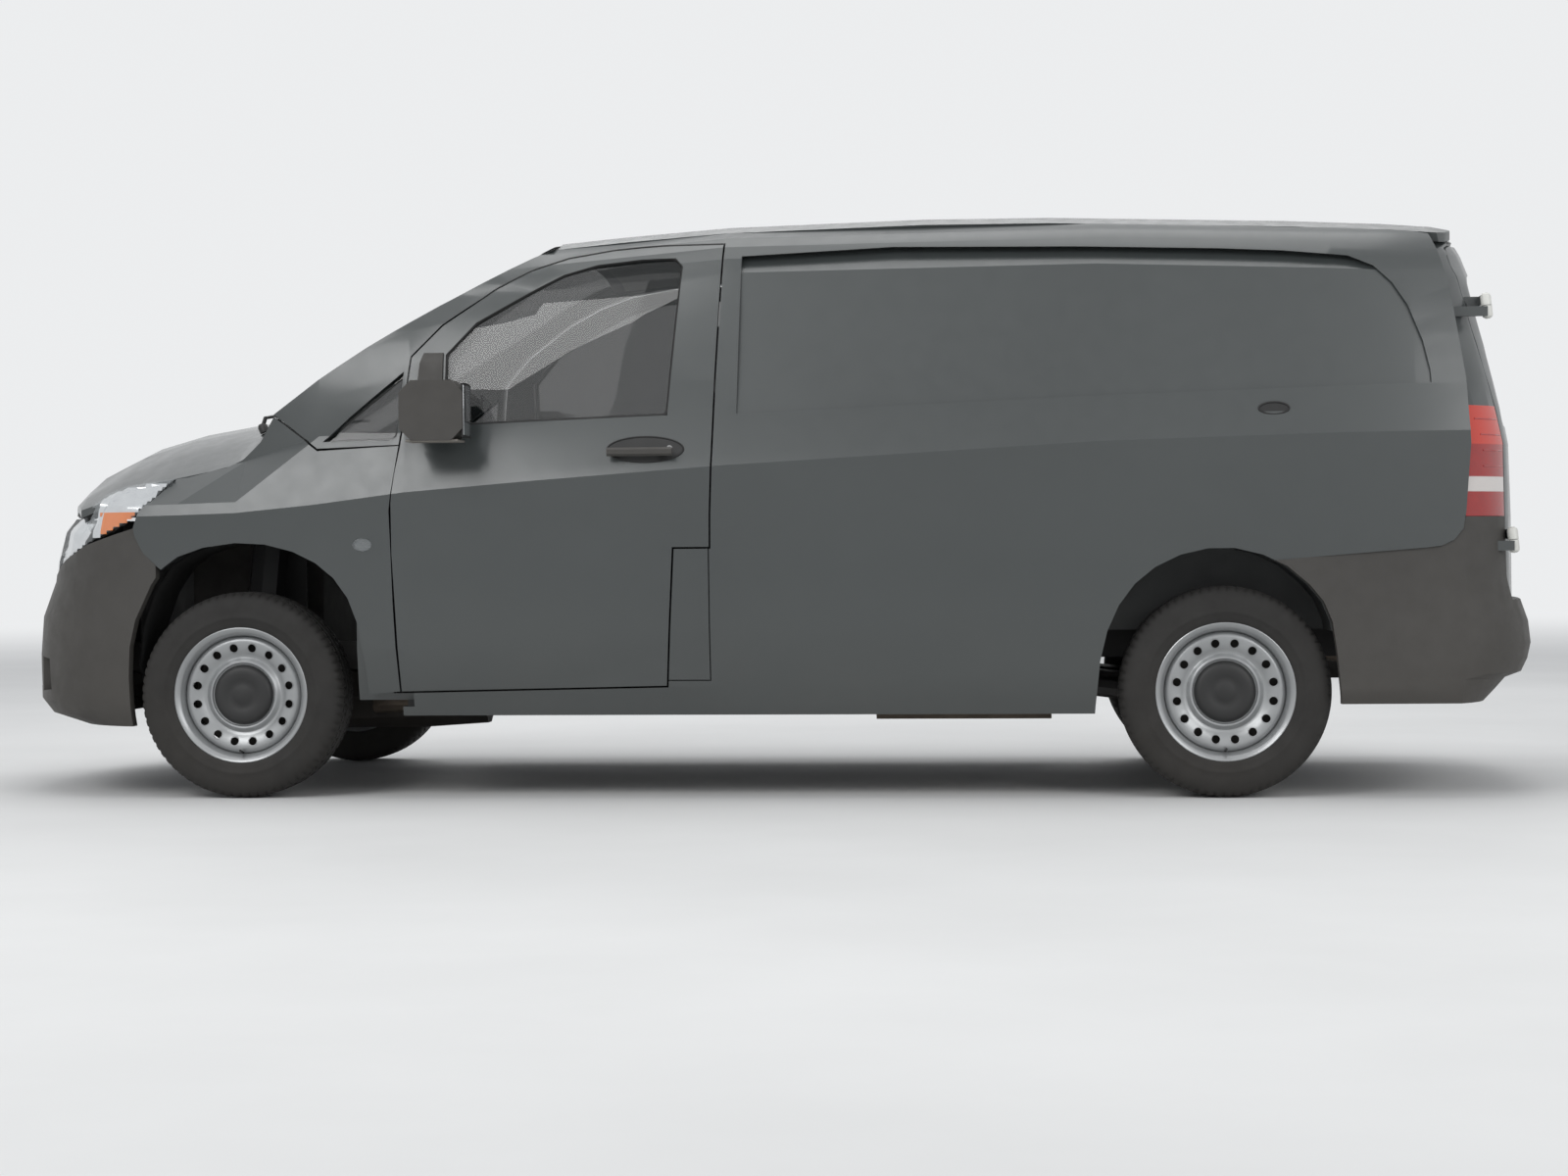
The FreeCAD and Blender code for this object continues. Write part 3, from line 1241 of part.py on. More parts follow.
def fuel_tank():
    """Tank under the load floor on the right."""
    tank = block(DOOR_REAR - 300, DOOR_REAR + 620, 470, 800, 236, 398)
    tank = tank.makeChamfer(40, along(tank, "x"))
    straps = [block(DOOR_REAR + x, DOOR_REAR + x + 40, 500, 540, 380, LOAD_FLOOR - FLOOR_THICK) for x in (160, 460)]
    return fused(tank, *straps)


def mirror():
    """Left door mirror with its arm and the dark corner plate of the window."""
    shell = block(FA + 583, FA + 788, -HALF - 158, -HALF - 18, 1158, 1350)
    shell = shell.makeChamfer(38, along(shell, "y"))
    arm = bar((FA + 690, -HALF + 60, 1196), (FA + 690, -HALF - 60, 1196), 26)
    plate = side_wall(-9, [0] * 11).common(side_block(corners(
        (DOOR_FRONT + 62, 1196), (DOOR_FRONT + 160, 1200), (DOOR_FRONT + 160, 1452), (DOOR_FRONT + 96, 1452), (DOOR_FRONT + 84, 1420))))
    return fused(shell, arm.cut(side_wall()), largest(plate)).cut(side_wall().cut(side_block(DOOR_WINDOW)))


def handle():
    """Left door handle."""
    grip = block(FA + 1229, FA + 1440, -HALF - 26, -HALF - 10, 1106, 1134)
    grip = grip.makeChamfer(7, along(grip, "x"))
    feet = [block(FA + 1240 + k * 150, FA + 1270 + k * 150, -HALF - 18, -HALF + 20, 1110, 1130) for k in (0, 1)]
    return fused(grip, *[f.cut(side_wall()) for f in feet])


def sides():
    """Both body sides."""
    return body_side(False), mirrored(body_side(True))


@functools.lru_cache
def slider_panel():
    """Sliding door as it lies on the left."""
    panel = side_wall().common(side_block(SLIDER))
    return largest(panel.cut(side_wall(-6, [9] * 11).common(side_block(EMBOSS))))


PARTS = {
    "floor": lambda: trim(floors()[0], firewall(), *sides()),
    "load_floor": lambda: trim(floors()[1], *sides(), rear_bumper(), mirrored(slider_panel())),
    "wheel_houses": lambda: trim(floors()[2], *sides(), mirrored(slider_panel())),
    "front_rails": lambda: trim(rails(True), floors()[0], firewall(), engine(), driveline(), front_suspension()),
    "chassis_rails": lambda: trim(
        rails(False), *floors(), firewall(), engine(), driveline(), exhaust(), front_suspension(), rear_suspension()),
    "firewall": firewall,
    "left_body_side": lambda: body_side(False),
    "right_body_side": lambda: mirrored(body_side(True)),
    "roof": roof,
    "front_fenders": lambda: both(fender()),
    "windscreen": windscreen,
    "quarter_glass": lambda: both(side_wall(14, [14 + GLASS] * 11).common(side_block(QUARTER_GLASS))),
    "cowl": cowl,
    "front_bumper": front_bumper,
    "grille": grille,
    "intake_grille": intake_grille,
    "headlamps": lambda: both(lamp()),
    "rear_frame": lambda: trim(rear_frame(), *sides()),
    "rear_bumper": lambda: trim(rear_bumper(), *sides()),
    "tail_lamps": lambda: trim(tail_lamps(), *sides()),
    "sliding_door": lambda: mirrored(slider_panel()),
    "wheel_liners": wheel_liners,
    "engine": engine,
    "radiator": radiator,
    "driveline": lambda: trim(driveline(), engine(), rear_suspension()),
    "front_suspension": front_suspension,
    "rear_suspension": rear_suspension,
    "exhaust": lambda: trim(exhaust(), driveline(), rear_suspension()),
    "fuel_tank": fuel_tank,
    "dashboard": dashboard,
    "column_shroud": column_shroud,
    "seat_bases": lambda: both(seat(-400)[0]),
    "seats": lambda: both(seat(-400)[1]),
    "steering_wheel": steering_wheel,
    "side_repeaters": lambda: both(repeater()),
    "rear_hinges": lambda: trim(rear_hinges(), rear_frame(), rear_bumper()),
    "hood": hood,
    "left_door": lambda: cab_door(True),
    "left_door_glass": door_glass,
    "left_mirror": mirror,
    "left_handle": handle,
    "right_door": lambda: mirrored(cab_door(False)),
    "right_door_glass": lambda: mirrored(door_glass()),
    "right_mirror": lambda: mirrored(mirror()),
    "right_handle": lambda: mirrored(handle()),
    "left_rear_door": lambda: mirrored(rear_door()),
    "left_rear_glass": lambda: mirrored(rear_glass()),
    "right_rear_door": rear_door,
    "right_rear_glass": rear_glass,
    "fuel_flap": fuel_flap,
    "left_knuckle": knuckle,
    "right_knuckle": lambda: mirrored(knuckle()),
    "left_front_tyre": lambda: tyre(FA),
    "left_front_rim": lambda: rim(FA, STUB_END),
    "right_front_tyre": lambda: mirrored(tyre(FA)),
    "right_front_rim": lambda: mirrored(rim(FA, STUB_END)),
    "left_rear_tyre": lambda: tyre(RA),
    "left_rear_rim": lambda: rim(RA, 738),
    "right_rear_tyre": lambda: mirrored(tyre(RA)),
    "right_rear_rim": lambda: mirrored(rim(RA, 738)),
}


def build():
    """Write every piece to its own file."""
    os.makedirs("parts", exist_ok=True)
    for name, make in PARTS.items():
        make().exportStep("parts/" + name + ".step")



build()
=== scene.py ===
"""Panel van: materials, fine pieces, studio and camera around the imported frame."""
import math

import bmesh
import bpy
from mathutils import Matrix, Vector
from mathutils.bvhtree import BVHTree


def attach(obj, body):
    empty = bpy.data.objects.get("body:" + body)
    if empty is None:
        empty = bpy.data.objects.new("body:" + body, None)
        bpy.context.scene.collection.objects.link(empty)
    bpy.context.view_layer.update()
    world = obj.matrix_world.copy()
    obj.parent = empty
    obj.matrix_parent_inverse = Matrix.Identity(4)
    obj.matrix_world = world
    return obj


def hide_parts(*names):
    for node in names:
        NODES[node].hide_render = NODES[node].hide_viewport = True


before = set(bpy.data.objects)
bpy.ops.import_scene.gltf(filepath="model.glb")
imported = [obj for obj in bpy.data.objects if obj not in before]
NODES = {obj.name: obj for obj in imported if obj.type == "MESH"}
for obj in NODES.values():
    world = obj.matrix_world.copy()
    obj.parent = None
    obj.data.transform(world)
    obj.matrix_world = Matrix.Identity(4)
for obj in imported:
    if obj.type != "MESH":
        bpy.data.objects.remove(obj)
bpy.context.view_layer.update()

scene = bpy.context.scene

# Sizes that more than one piece uses, in metres
FRONT_AXLE = -1.675
REAR_AXLE = 1.525
WHEEL_Y = 0.805
AXLE_Z = 0.338
HALF = 0.964
SEAT_Y = 0.40
SEAL_RADIUS = 0.0075
SIDES = ((-1, "left"), (1, "right"))
OUTSIDE = 1.4


# Materials
def srgb(r, g, b):
    """Linear colour of an sRGB colour in 0 to 255."""
    out = []
    for c in (r, g, b):
        c = c / 255
        out.append(c / 12.92 if c <= 0.04045 else ((c + 0.055) / 1.055) ** 2.4)
    return out


def link(tree, a, b):
    tree.links.new(a, b)


def maths(tree, operation, a, b):
    """Result of a Math node on two links."""
    node = tree.nodes.new("ShaderNodeMath")
    node.operation = operation
    link(tree, a, node.inputs[0])
    link(tree, b, node.inputs[1])
    return node.outputs[0]


def noise(tree, coord, scale, detail=3.0, rough=0.55):
    """Noise factor over the object's own coordinates."""
    node = tree.nodes.new("ShaderNodeTexNoise")
    node.inputs["Scale"].default_value = scale
    node.inputs["Detail"].default_value = detail
    node.inputs["Roughness"].default_value = rough
    link(tree, coord, node.inputs["Vector"])
    return node.outputs["Fac"]


def spread(tree, value, low, high):
    """The middle of a noise factor stretched to a range."""
    node = tree.nodes.new("ShaderNodeMapRange")
    node.inputs["From Min"].default_value = 0.3
    node.inputs["From Max"].default_value = 0.7
    node.inputs["To Min"].default_value = low
    node.inputs["To Max"].default_value = high
    link(tree, value, node.inputs["Value"])
    return node.outputs["Result"]


def mix(tree, fac, a, b):
    """Colour mixed from two colours or links."""
    node = tree.nodes.new("ShaderNodeMix")
    node.data_type = "RGBA"
    if isinstance(fac, float):
        node.inputs[0].default_value = fac
    else:
        link(tree, fac, node.inputs[0])
    for socket, value in ((node.inputs[6], a), (node.inputs[7], b)):
        if isinstance(value, (list, tuple)):
            socket.default_value = (*value[:3], 1)
        else:
            link(tree, value, socket)
    return node.outputs[2]


def height_step(tree, coord, low, high):
    """Factor that rises from 0 to 1 between two heights."""
    split = tree.nodes.new("ShaderNodeSeparateXYZ")
    link(tree, coord, split.inputs[0])
    node = tree.nodes.new("ShaderNodeMapRange")
    node.inputs["From Min"].default_value = low
    node.inputs["From Max"].default_value = high
    link(tree, split.outputs[2], node.inputs["Value"])
    return node.outputs["Result"]


# Half the width of a colour band's edge, and the heights where dust ends and where it is full
BAND_EDGE = 0.0015
DUST_TOP = 0.75
DUST_FULL = 0.15
DUST = srgb(132, 122, 108)


def material(
    name, slot, colour, rough, metal=0.0, tone=0.08, patch=4.0, grain=900.0, depth=0.0, wear=0.05,
    coat=0.0, alpha=1.0, sheen=0.0, dust=0.0, bands=(), weave=0.0, specular=0.5,
):
    """A procedural material: tone that varies, worn gloss, grain as bump, dust low down."""
    made = bpy.data.materials.new(name)
    made.use_nodes = True
    tree = made.node_tree
    shader = tree.nodes["Principled BSDF"]
    coord = tree.nodes.new("ShaderNodeTexCoord").outputs["Object"]
    broad = noise(tree, coord, patch, 4.0)
    factor = spread(tree, broad, 0.0, 1.0)
    base = mix(tree, factor, [c * (1 - tone) for c in colour], [min(1.0, c * (1 + tone)) for c in colour])
    for low, high, tint in bands:
        up = height_step(tree, coord, low - BAND_EDGE, low + BAND_EDGE)
        down = height_step(tree, coord, high + BAND_EDGE, high - BAND_EDGE)
        base = mix(tree, maths(tree, "MULTIPLY", up, down), base, tint)
    if dust:
        fall = height_step(tree, coord, DUST_TOP, DUST_FULL)
        streak = spread(tree, noise(tree, coord, 2.2, 5.0, 0.7), 0.2 * dust, dust)
        base = mix(tree, maths(tree, "MULTIPLY", fall, streak), base, DUST)
    if weave:
        wave = tree.nodes.new("ShaderNodeTexWave")
        wave.inputs["Scale"].default_value = weave
        wave.inputs["Distortion"].default_value = 0.4
        wave.bands_direction = "DIAGONAL"
        link(tree, coord, wave.inputs["Vector"])
        base = mix(tree, wave.outputs["Fac"], base, [c * 0.72 for c in colour])
    link(tree, base, shader.inputs["Base Color"])
    gloss = spread(tree, noise(tree, coord, 17.0, 4.0), max(0.02, rough - wear), min(1.0, rough + wear))
    link(tree, gloss, shader.inputs["Roughness"])
    shader.inputs["Metallic"].default_value = metal
    shader.inputs["Specular IOR Level"].default_value = specular
    if coat:
        shader.inputs["Coat Weight"].default_value = coat
        shader.inputs["Coat Roughness"].default_value = 0.16
    if sheen:
        shader.inputs["Sheen Weight"].default_value = sheen
    if alpha < 1:
        shader.inputs["Alpha"].default_value = alpha
    if depth:
        bump = tree.nodes.new("ShaderNodeBump")
        bump.inputs["Distance"].default_value = depth
        bump.inputs["Strength"].default_value = 1.0
        link(tree, noise(tree, coord, grain, 2.0, 0.5), bump.inputs["Height"])
        link(tree, bump.outputs[0], shader.inputs["Normal"])
    made["slot"] = slot
    return made


PAINT = material(
    "paint_grey", "paint", srgb(63, 67, 67), 0.36, metal=0.1, tone=0.05, patch=1.3, grain=2600,
    depth=0.00002, coat=0.55, dust=0.06)
ROOF = material(
    "paint_roof", "paint", srgb(63, 67, 67), 0.5, tone=0.05, patch=1.3, grain=2200, depth=0.00003,
    coat=0.15, specular=0.4)
INNER = material(
    "paint_inner", "paint", srgb(58, 60, 60), 0.5, tone=0.06, grain=900, depth=0.0001, dust=0.12)
PLASTIC = material(
    "bumper_grain", "bumper_plastic", srgb(62, 60, 57), 0.6, tone=0.07, patch=3.0, grain=1500,
    depth=0.00025, dust=0.06, wear=0.08)
DARK = material(
    "dark_plastic", "bumper_plastic", srgb(34, 34, 34), 0.5, tone=0.1, grain=1300, depth=0.0002)
SEAL = material("rubber_seal", "rubber", srgb(22, 22, 22), 0.62, tone=0.12, grain=700, depth=0.0002)
GLASS = material(
    "tinted_glass", "glass", srgb(26, 30, 30), 0.0, tone=0.03, wear=0.0, alpha=0.5, specular=0.8)
CLEAR = material(
    "clear_lens", "front_lamp", srgb(205, 210, 212), 0.05, tone=0.02, wear=0.02, alpha=0.13, specular=0.9)
CHROME = material(
    "lamp_chrome", "alloy", srgb(215, 217, 219), 0.13, metal=1.0, tone=0.05, patch=20, grain=300,
    depth=0.0001)
AMBER = material(
    "amber_lens", "rear_lamp", srgb(226, 120, 24), 0.2, tone=0.06, grain=420, depth=0.0004, coat=0.6)
TAIL = material(
    "tail_red", "rear_lamp", srgb(150, 14, 12), 0.12, tone=0.08, patch=30, grain=380, depth=0.0004, coat=0.8,
    bands=((0.970, 1.017, srgb(206, 200, 196)), (1.120, 1.300, srgb(196, 44, 20))))
RED = material(
    "red_lens", "rear_lamp", srgb(160, 12, 12), 0.15, tone=0.08, grain=380, depth=0.0004, coat=0.8)
WHITE = material(
    "white_plastic", "white_plastic", srgb(214, 214, 208), 0.42, tone=0.04, grain=800, depth=0.0001)
PLATE = material(
    "plate_blank", "white_plastic", srgb(196, 196, 190), 0.35, tone=0.03, grain=500, depth=0.00005, coat=0.3)
CAST = material(
    "cast_metal", "cast", srgb(72, 70, 68), 0.68, metal=0.6, tone=0.2, patch=9, grain=320, depth=0.0006,
    dust=0.12)
BLACK = material(
    "chassis_paint", "chassis_black", srgb(30, 30, 31), 0.55, tone=0.15, patch=6, grain=500, depth=0.0003,
    dust=0.1)
STEEL = material(
    "bare_steel", "alloy", srgb(150, 150, 150), 0.35, metal=1.0, tone=0.12, patch=12, grain=500, depth=0.0001)
EXHAUST = material(
    "exhaust_steel", "exhaust_steel", srgb(118, 108, 98), 0.5, metal=0.9, tone=0.25, patch=7, grain=300,
    depth=0.0003, dust=0.12)
DASH = material("dash_grain", "dash_plastic", srgb(44, 44, 46), 0.62, tone=0.06, grain=1100, depth=0.0003)
TRIM = material("trim_grey", "dash_plastic", srgb(122, 118, 112), 0.7, tone=0.06, grain=1000, depth=0.0003)
CLOTH = material(
    "seat_weave", "seat_cloth", srgb(66, 66, 70), 0.9, tone=0.14, patch=12, grain=1400, depth=0.0006,
    sheen=0.4, weave=160.0)
PIPING = material(
    "seat_piping", "seat_cloth", srgb(40, 40, 43), 0.85, tone=0.1, grain=1400, depth=0.0004, sheen=0.3)
RUBBER = material(
    "tyre_rubber", "rubber", srgb(33, 32, 31), 0.78, tone=0.12, patch=8, grain=900, depth=0.0004, dust=0.06)
SILVER = material(
    "wheel_silver", "wheel_silver", srgb(158, 160, 161), 0.36, metal=0.55, tone=0.07, patch=9, grain=700,
    depth=0.0001, coat=0.3, dust=0.05)


# Carried-over nodes: materials and smooth shading by angle
JOIN_DISTANCE = 0.00003


def smoothing(angle):
    """Geometry nodes that join the facets' edges and shade them smooth up to an angle."""
    group = bpy.data.node_groups.new("smoothing", "GeometryNodeTree")
    group.interface.new_socket("Geometry", in_out="INPUT", socket_type="NodeSocketGeometry")
    group.interface.new_socket("Geometry", in_out="OUTPUT", socket_type="NodeSocketGeometry")
    start = group.nodes.new("NodeGroupInput")
    end = group.nodes.new("NodeGroupOutput")
    drop = group.nodes.new("GeometryNodeRemoveAttribute")
    drop.inputs["Name"].default_value = "custom_normal"
    join = group.nodes.new("GeometryNodeMergeByDistance")
    join.inputs["Distance"].default_value = JOIN_DISTANCE
    faces = group.nodes.new("GeometryNodeSetShadeSmooth")
    faces.domain = "FACE"
    edges = group.nodes.new("GeometryNodeSetShadeSmooth")
    edges.domain = "EDGE"
    turn = group.nodes.new("GeometryNodeInputMeshEdgeAngle")
    less = group.nodes.new("FunctionNodeCompare")
    less.operation = "LESS_THAN"
    less.inputs[1].default_value = math.radians(angle)
    link(group, start.outputs[0], drop.inputs[0])
    link(group, drop.outputs[0], join.inputs[0])
    link(group, join.outputs[0], faces.inputs[0])
    link(group, faces.outputs[0], edges.inputs[0])
    link(group, turn.outputs[0], less.inputs[0])
    link(group, less.outputs[0], edges.inputs["Shade Smooth"])
    link(group, edges.outputs[0], end.inputs[0])
    return group


SMOOTH = smoothing(24)
CREASED = smoothing(14)
CREASED_NODES = (
    "left_body_side", "right_body_side", "front_fenders", "sliding_door", "left_door", "right_door")
FINISH = {
    PAINT: ["left_body_side", "right_body_side", "front_fenders", "rear_frame", "rear_hinges", "sliding_door",
            "hood", "left_door", "right_door", "left_rear_door", "right_rear_door", "fuel_flap"],
    INNER: ["floor", "load_floor", "wheel_houses", "firewall"],
    BLACK: ["front_rails", "chassis_rails", "front_suspension", "rear_suspension", "left_knuckle",
            "right_knuckle", "radiator", "seat_bases"],
    PLASTIC: ["front_bumper", "rear_bumper", "left_mirror", "right_mirror", "left_handle", "right_handle"],
    DARK: ["cowl", "grille", "intake_grille", "wheel_liners", "fuel_tank"],
    GLASS: ["windscreen", "quarter_glass", "left_door_glass", "right_door_glass", "left_rear_glass",
            "right_rear_glass"],
    CLEAR: ["headlamps", "side_repeaters"],
    TAIL: ["tail_lamps"],
    ROOF: ["roof"],
    CAST: ["engine", "driveline"],
    EXHAUST: ["exhaust"],
    DASH: ["dashboard", "column_shroud", "steering_wheel"],
    CLOTH: ["seats"],
    RUBBER: ["left_front_tyre", "right_front_tyre", "left_rear_tyre", "right_rear_tyre"],
    SILVER: ["left_front_rim", "right_front_rim", "left_rear_rim", "right_rear_rim"],
}
for finish, names in FINISH.items():
    for name in names:
        node = NODES[name]
        for slot in node.material_slots:
            slot.material = finish
        node.modifiers.new("smooth", "NODES").node_group = CREASED if name in CREASED_NODES else SMOOTH


# Builders
def piece(name, verts, faces, finish, body, angle=35, instead=()):
    """A mesh piece with its material that rides on a body."""
    mesh = bpy.data.meshes.new(name)
    mesh.from_pydata([tuple(v) for v in verts], [], faces)
    mesh.validate()
    work = bmesh.new()
    work.from_mesh(mesh)
    bmesh.ops.recalc_face_normals(work, faces=work.faces)
    work.to_mesh(mesh)
    work.free()
    return dress(bpy.data.objects.new(name, mesh), finish, body, angle, instead)


def dress(obj, finish, body, angle=35, instead=()):
    """Shades, paints and mounts a new object."""
    if obj.name not in scene.collection.objects:
        scene.collection.objects.link(obj)
    obj.data.materials.clear()
    obj.data.materials.append(finish)
    obj.data.shade_smooth()
    obj.data.set_sharp_from_angle(angle=math.radians(angle))
    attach(obj, body)
    if instead:
        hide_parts(*instead)
    return obj


def baked(obj):
    """The object's mesh with its modifiers applied."""
    bpy.context.view_layer.update()
    return bpy.data.meshes.new_from_object(obj.evaluated_get(bpy.context.evaluated_depsgraph_get()))


def around(steps):
    """Even angles round a circle."""
    return [2 * math.pi * k / steps for k in range(steps)]


def ring_mesh(profile, steps, offset=None):
    """Vertices and faces of a closed profile of (out, radius) turned about Y, out being -Y."""
    verts = []
    faces = []
    n = len(profile)
    for k, a in enumerate(around(steps)):
        for out, r in profile:
            if offset:
                r -= offset(k, out, r)
            verts.append((r * math.cos(a), -out, r * math.sin(a)))
    for k in range(steps):
        for i in range(n):
            a = k * n + i
            b = k * n + (i + 1) % n
            c = ((k + 1) % steps) * n + (i + 1) % n
            d = ((k + 1) % steps) * n + i
            faces.append((a, b, c, d))
    return verts, faces


def disc_mesh(profile, steps):
    """Vertices and faces of a profile that starts and ends on the axis."""
    verts = [(0, -profile[0][0], 0)]
    faces = []
    inner = profile[1:-1]
    n = len(inner)
    for a in around(steps):
        verts += [(r * math.cos(a), -out, r * math.sin(a)) for out, r in inner]
    verts.append((0, -profile[-1][0], 0))
    for k in range(steps):
        a = 1 + k * n
        b = 1 + ((k + 1) % steps) * n
        faces.append((0, a, b))
        for i in range(n - 1):
            faces.append((a + i, a + i + 1, b + i + 1, b + i))
        faces.append((a + n - 1, len(verts) - 1, b + n - 1))
    return verts, faces


def tube(name, points, radius, finish, body, closed=False):
    """A round bar along points."""
    curve = bpy.data.curves.new(name, "CURVE")
    curve.dimensions = "3D"
    curve.bevel_depth = radius
    curve.bevel_resolution = 3
    curve.use_fill_caps = True
    spline = curve.splines.new("POLY")
    spline.points.add(len(points) - 1)
    for p, q in zip(spline.points, points):
        p.co = (*q, 1)
    spline.use_cyclic_u = closed
    line = bpy.data.objects.new(name + "_line", curve)
    scene.collection.objects.link(line)
    mesh = baked(line)
    bpy.data.objects.remove(line)
    mesh.name = name
    return dress(bpy.data.objects.new(name, mesh), finish, body, 50)


def slab(name, centre, size, finish, body, bevel, turn=None):
    """A block with rounded edges."""
    work = bmesh.new()
    bmesh.ops.create_cube(work, size=1.0)
    bmesh.ops.scale(work, vec=size, verts=work.verts)
    bmesh.ops.bevel(work, geom=list(work.edges), offset=bevel, segments=3, profile=0.5, affect="EDGES")
    if turn:
        bmesh.ops.rotate(work, cent=(0, 0, 0), matrix=turn, verts=work.verts)
    bmesh.ops.translate(work, vec=centre, verts=work.verts)
    mesh = bpy.data.meshes.new(name)
    work.to_mesh(mesh)
    work.free()
    return dress(bpy.data.objects.new(name, mesh), finish, body, 30)


def turned(name, profile, steps, place, toward, finish, body):
    """A disc form turned about its own axis, whose front looks toward a direction."""
    verts, faces = disc_mesh(profile, steps)
    turn = Vector((0, -1, 0)).rotation_difference(Vector(toward)).to_matrix()
    return piece(name, [turn @ Vector(v) + Vector(place) for v in verts], faces, finish, body, 30)


TREES = {}


def touch(node, start, way):
    """Point where a ray from outside meets a node, or None."""
    if node not in TREES:
        mesh = NODES[node].data
        TREES[node] = BVHTree.FromPolygons(
            [v.co for v in mesh.vertices], [tuple(p.vertices) for p in mesh.polygons])
    return TREES[node].ray_cast(Vector(start), Vector(way))[0]


def girth(loop):
    """Length of a closed line."""
    return sum((p - q).length for p, q in zip(loop, loop[1:] + loop[:1]))


def borders(node, way, lean=0.4):
    """Closed border lines of the faces of a node that look one way, longest first."""
    mesh = NODES[node].data
    way = Vector(way).normalized()
    points = {}
    count = {}
    for face in mesh.polygons:
        if face.normal.dot(way) < lean:
            continue
        keys = []
        for i in face.vertices:
            co = mesh.vertices[i].co
            key = (round(co.x, 4), round(co.y, 4), round(co.z, 4))
            points[key] = co.copy()
            keys.append(key)
        for a, b in zip(keys, keys[1:] + keys[:1]):
            count[(a, b)] = count.get((a, b), 0) + 1
    after = {a: b for (a, b) in count if (b, a) not in count}
    loops = []
    while after:
        first, step = after.popitem()
        loop = [points[first]]
        while step in after:
            loop.append(points[step])
            step = after.pop(step)
        if step == first and len(loop) > 2:
            loops.append(loop)
    return sorted(loops, key=girth, reverse=True)


def rounded(loop, step=0.012, turns=2):
    """A closed line with even points and softened corners."""
    out = []
    for a, b in zip(loop, loop[1:] + loop[:1]):
        n = max(1, round((b - a).length / step))
        out += [a.lerp(b, k / n) for k in range(n)]
    for _ in range(turns):
        n = len(out)
        out = [(out[i - 1] + out[i] * 2 + out[(i + 1) % n]) / 4 for i in range(n)]
    return out


# Wheels
TREAD_FROM = 0.325
SHOULDER = 0.062
RIB = (0.026, 0.054)
SHOULDER_CUT = 0.006
RIB_CUT = 0.004


def tread(k, out, r):
    """How far the tread is cut in at a column and a place across the tyre."""
    if r < TREAD_FROM:
        return 0.0
    if abs(out) > SHOULDER:
        return SHOULDER_CUT if k % 4 == 3 else 0.0
    if RIB[0] < abs(out) < RIB[1]:
        return RIB_CUT if (k + (2 if out > 0 else 0)) % 4 == 1 else 0.0
    return 0.0


def tyre_profile():
    """Closed section of the tyre as (out, radius), the same on both sides."""
    half = [
        (0.0, 0.338), (0.019, 0.338), (0.0195, 0.331), (0.0265, 0.331), (0.027, 0.338), (0.053, 0.3378),
        (0.0535, 0.331), (0.0615, 0.331), (0.062, 0.3372), (0.077, 0.3352), (0.088, 0.3300), (0.097, 0.320),
        (0.1025, 0.307), (0.1055, 0.293), (0.1070, 0.276), (0.1065, 0.262), (0.1078, 0.258), (0.1074, 0.253),
        (0.1052, 0.249), (0.1025, 0.238), (0.1, 0.228), (0.0965, 0.223), (0.09, 0.2215), (0.08, 0.208)]
    return half + [(-o, r) for o, r in reversed(half[1:])]


WHEEL_RIM = [
    (0.0965, 0.2165), (0.098, 0.2195), (0.0965, 0.2222), (0.092, 0.2212), (0.086, 0.2085), (-0.086, 0.2085),
    (-0.092, 0.2212), (-0.0965, 0.2222), (-0.098, 0.2195), (-0.0955, 0.212), (-0.088, 0.204), (0.02, 0.1935),
    (0.05, 0.1925), (0.072, 0.1965), (0.084, 0.2015), (0.091, 0.2065)]
DISC_FACE = [
    (0.052, 0.1945), (0.060, 0.1915), (0.0655, 0.186), (0.069, 0.179), (0.0695, 0.1725), (0.068, 0.165),
    (0.0655, 0.156), (0.0615, 0.146), (0.0555, 0.136), (0.051, 0.129), (0.050, 0.124), (0.0535, 0.1185),
    (0.0595, 0.114), (0.062, 0.1095), (0.061, 0.105), (0.057, 0.1015), (0.054, 0.09)]
CAP = [
    (0.0745, 0.0), (0.0745, 0.028), (0.0735, 0.030), (0.0735, 0.047), (0.0755, 0.052), (0.0765, 0.07),
    (0.0755, 0.082), (0.072, 0.090), (0.066, 0.0955), (0.058, 0.0985), (0.048, 0.0975), (0.048, 0.0)]
DISC_THICK = 0.0045
HOLES = 16
HOLE_CIRCLE = 0.156
HOLE_RADIUS = 0.0135
HOLE_EDGE = 0.0144
EDGE_ROLL = 0.0013
DISC_OUT = 0.0655
DISC_SLOPE = 0.36


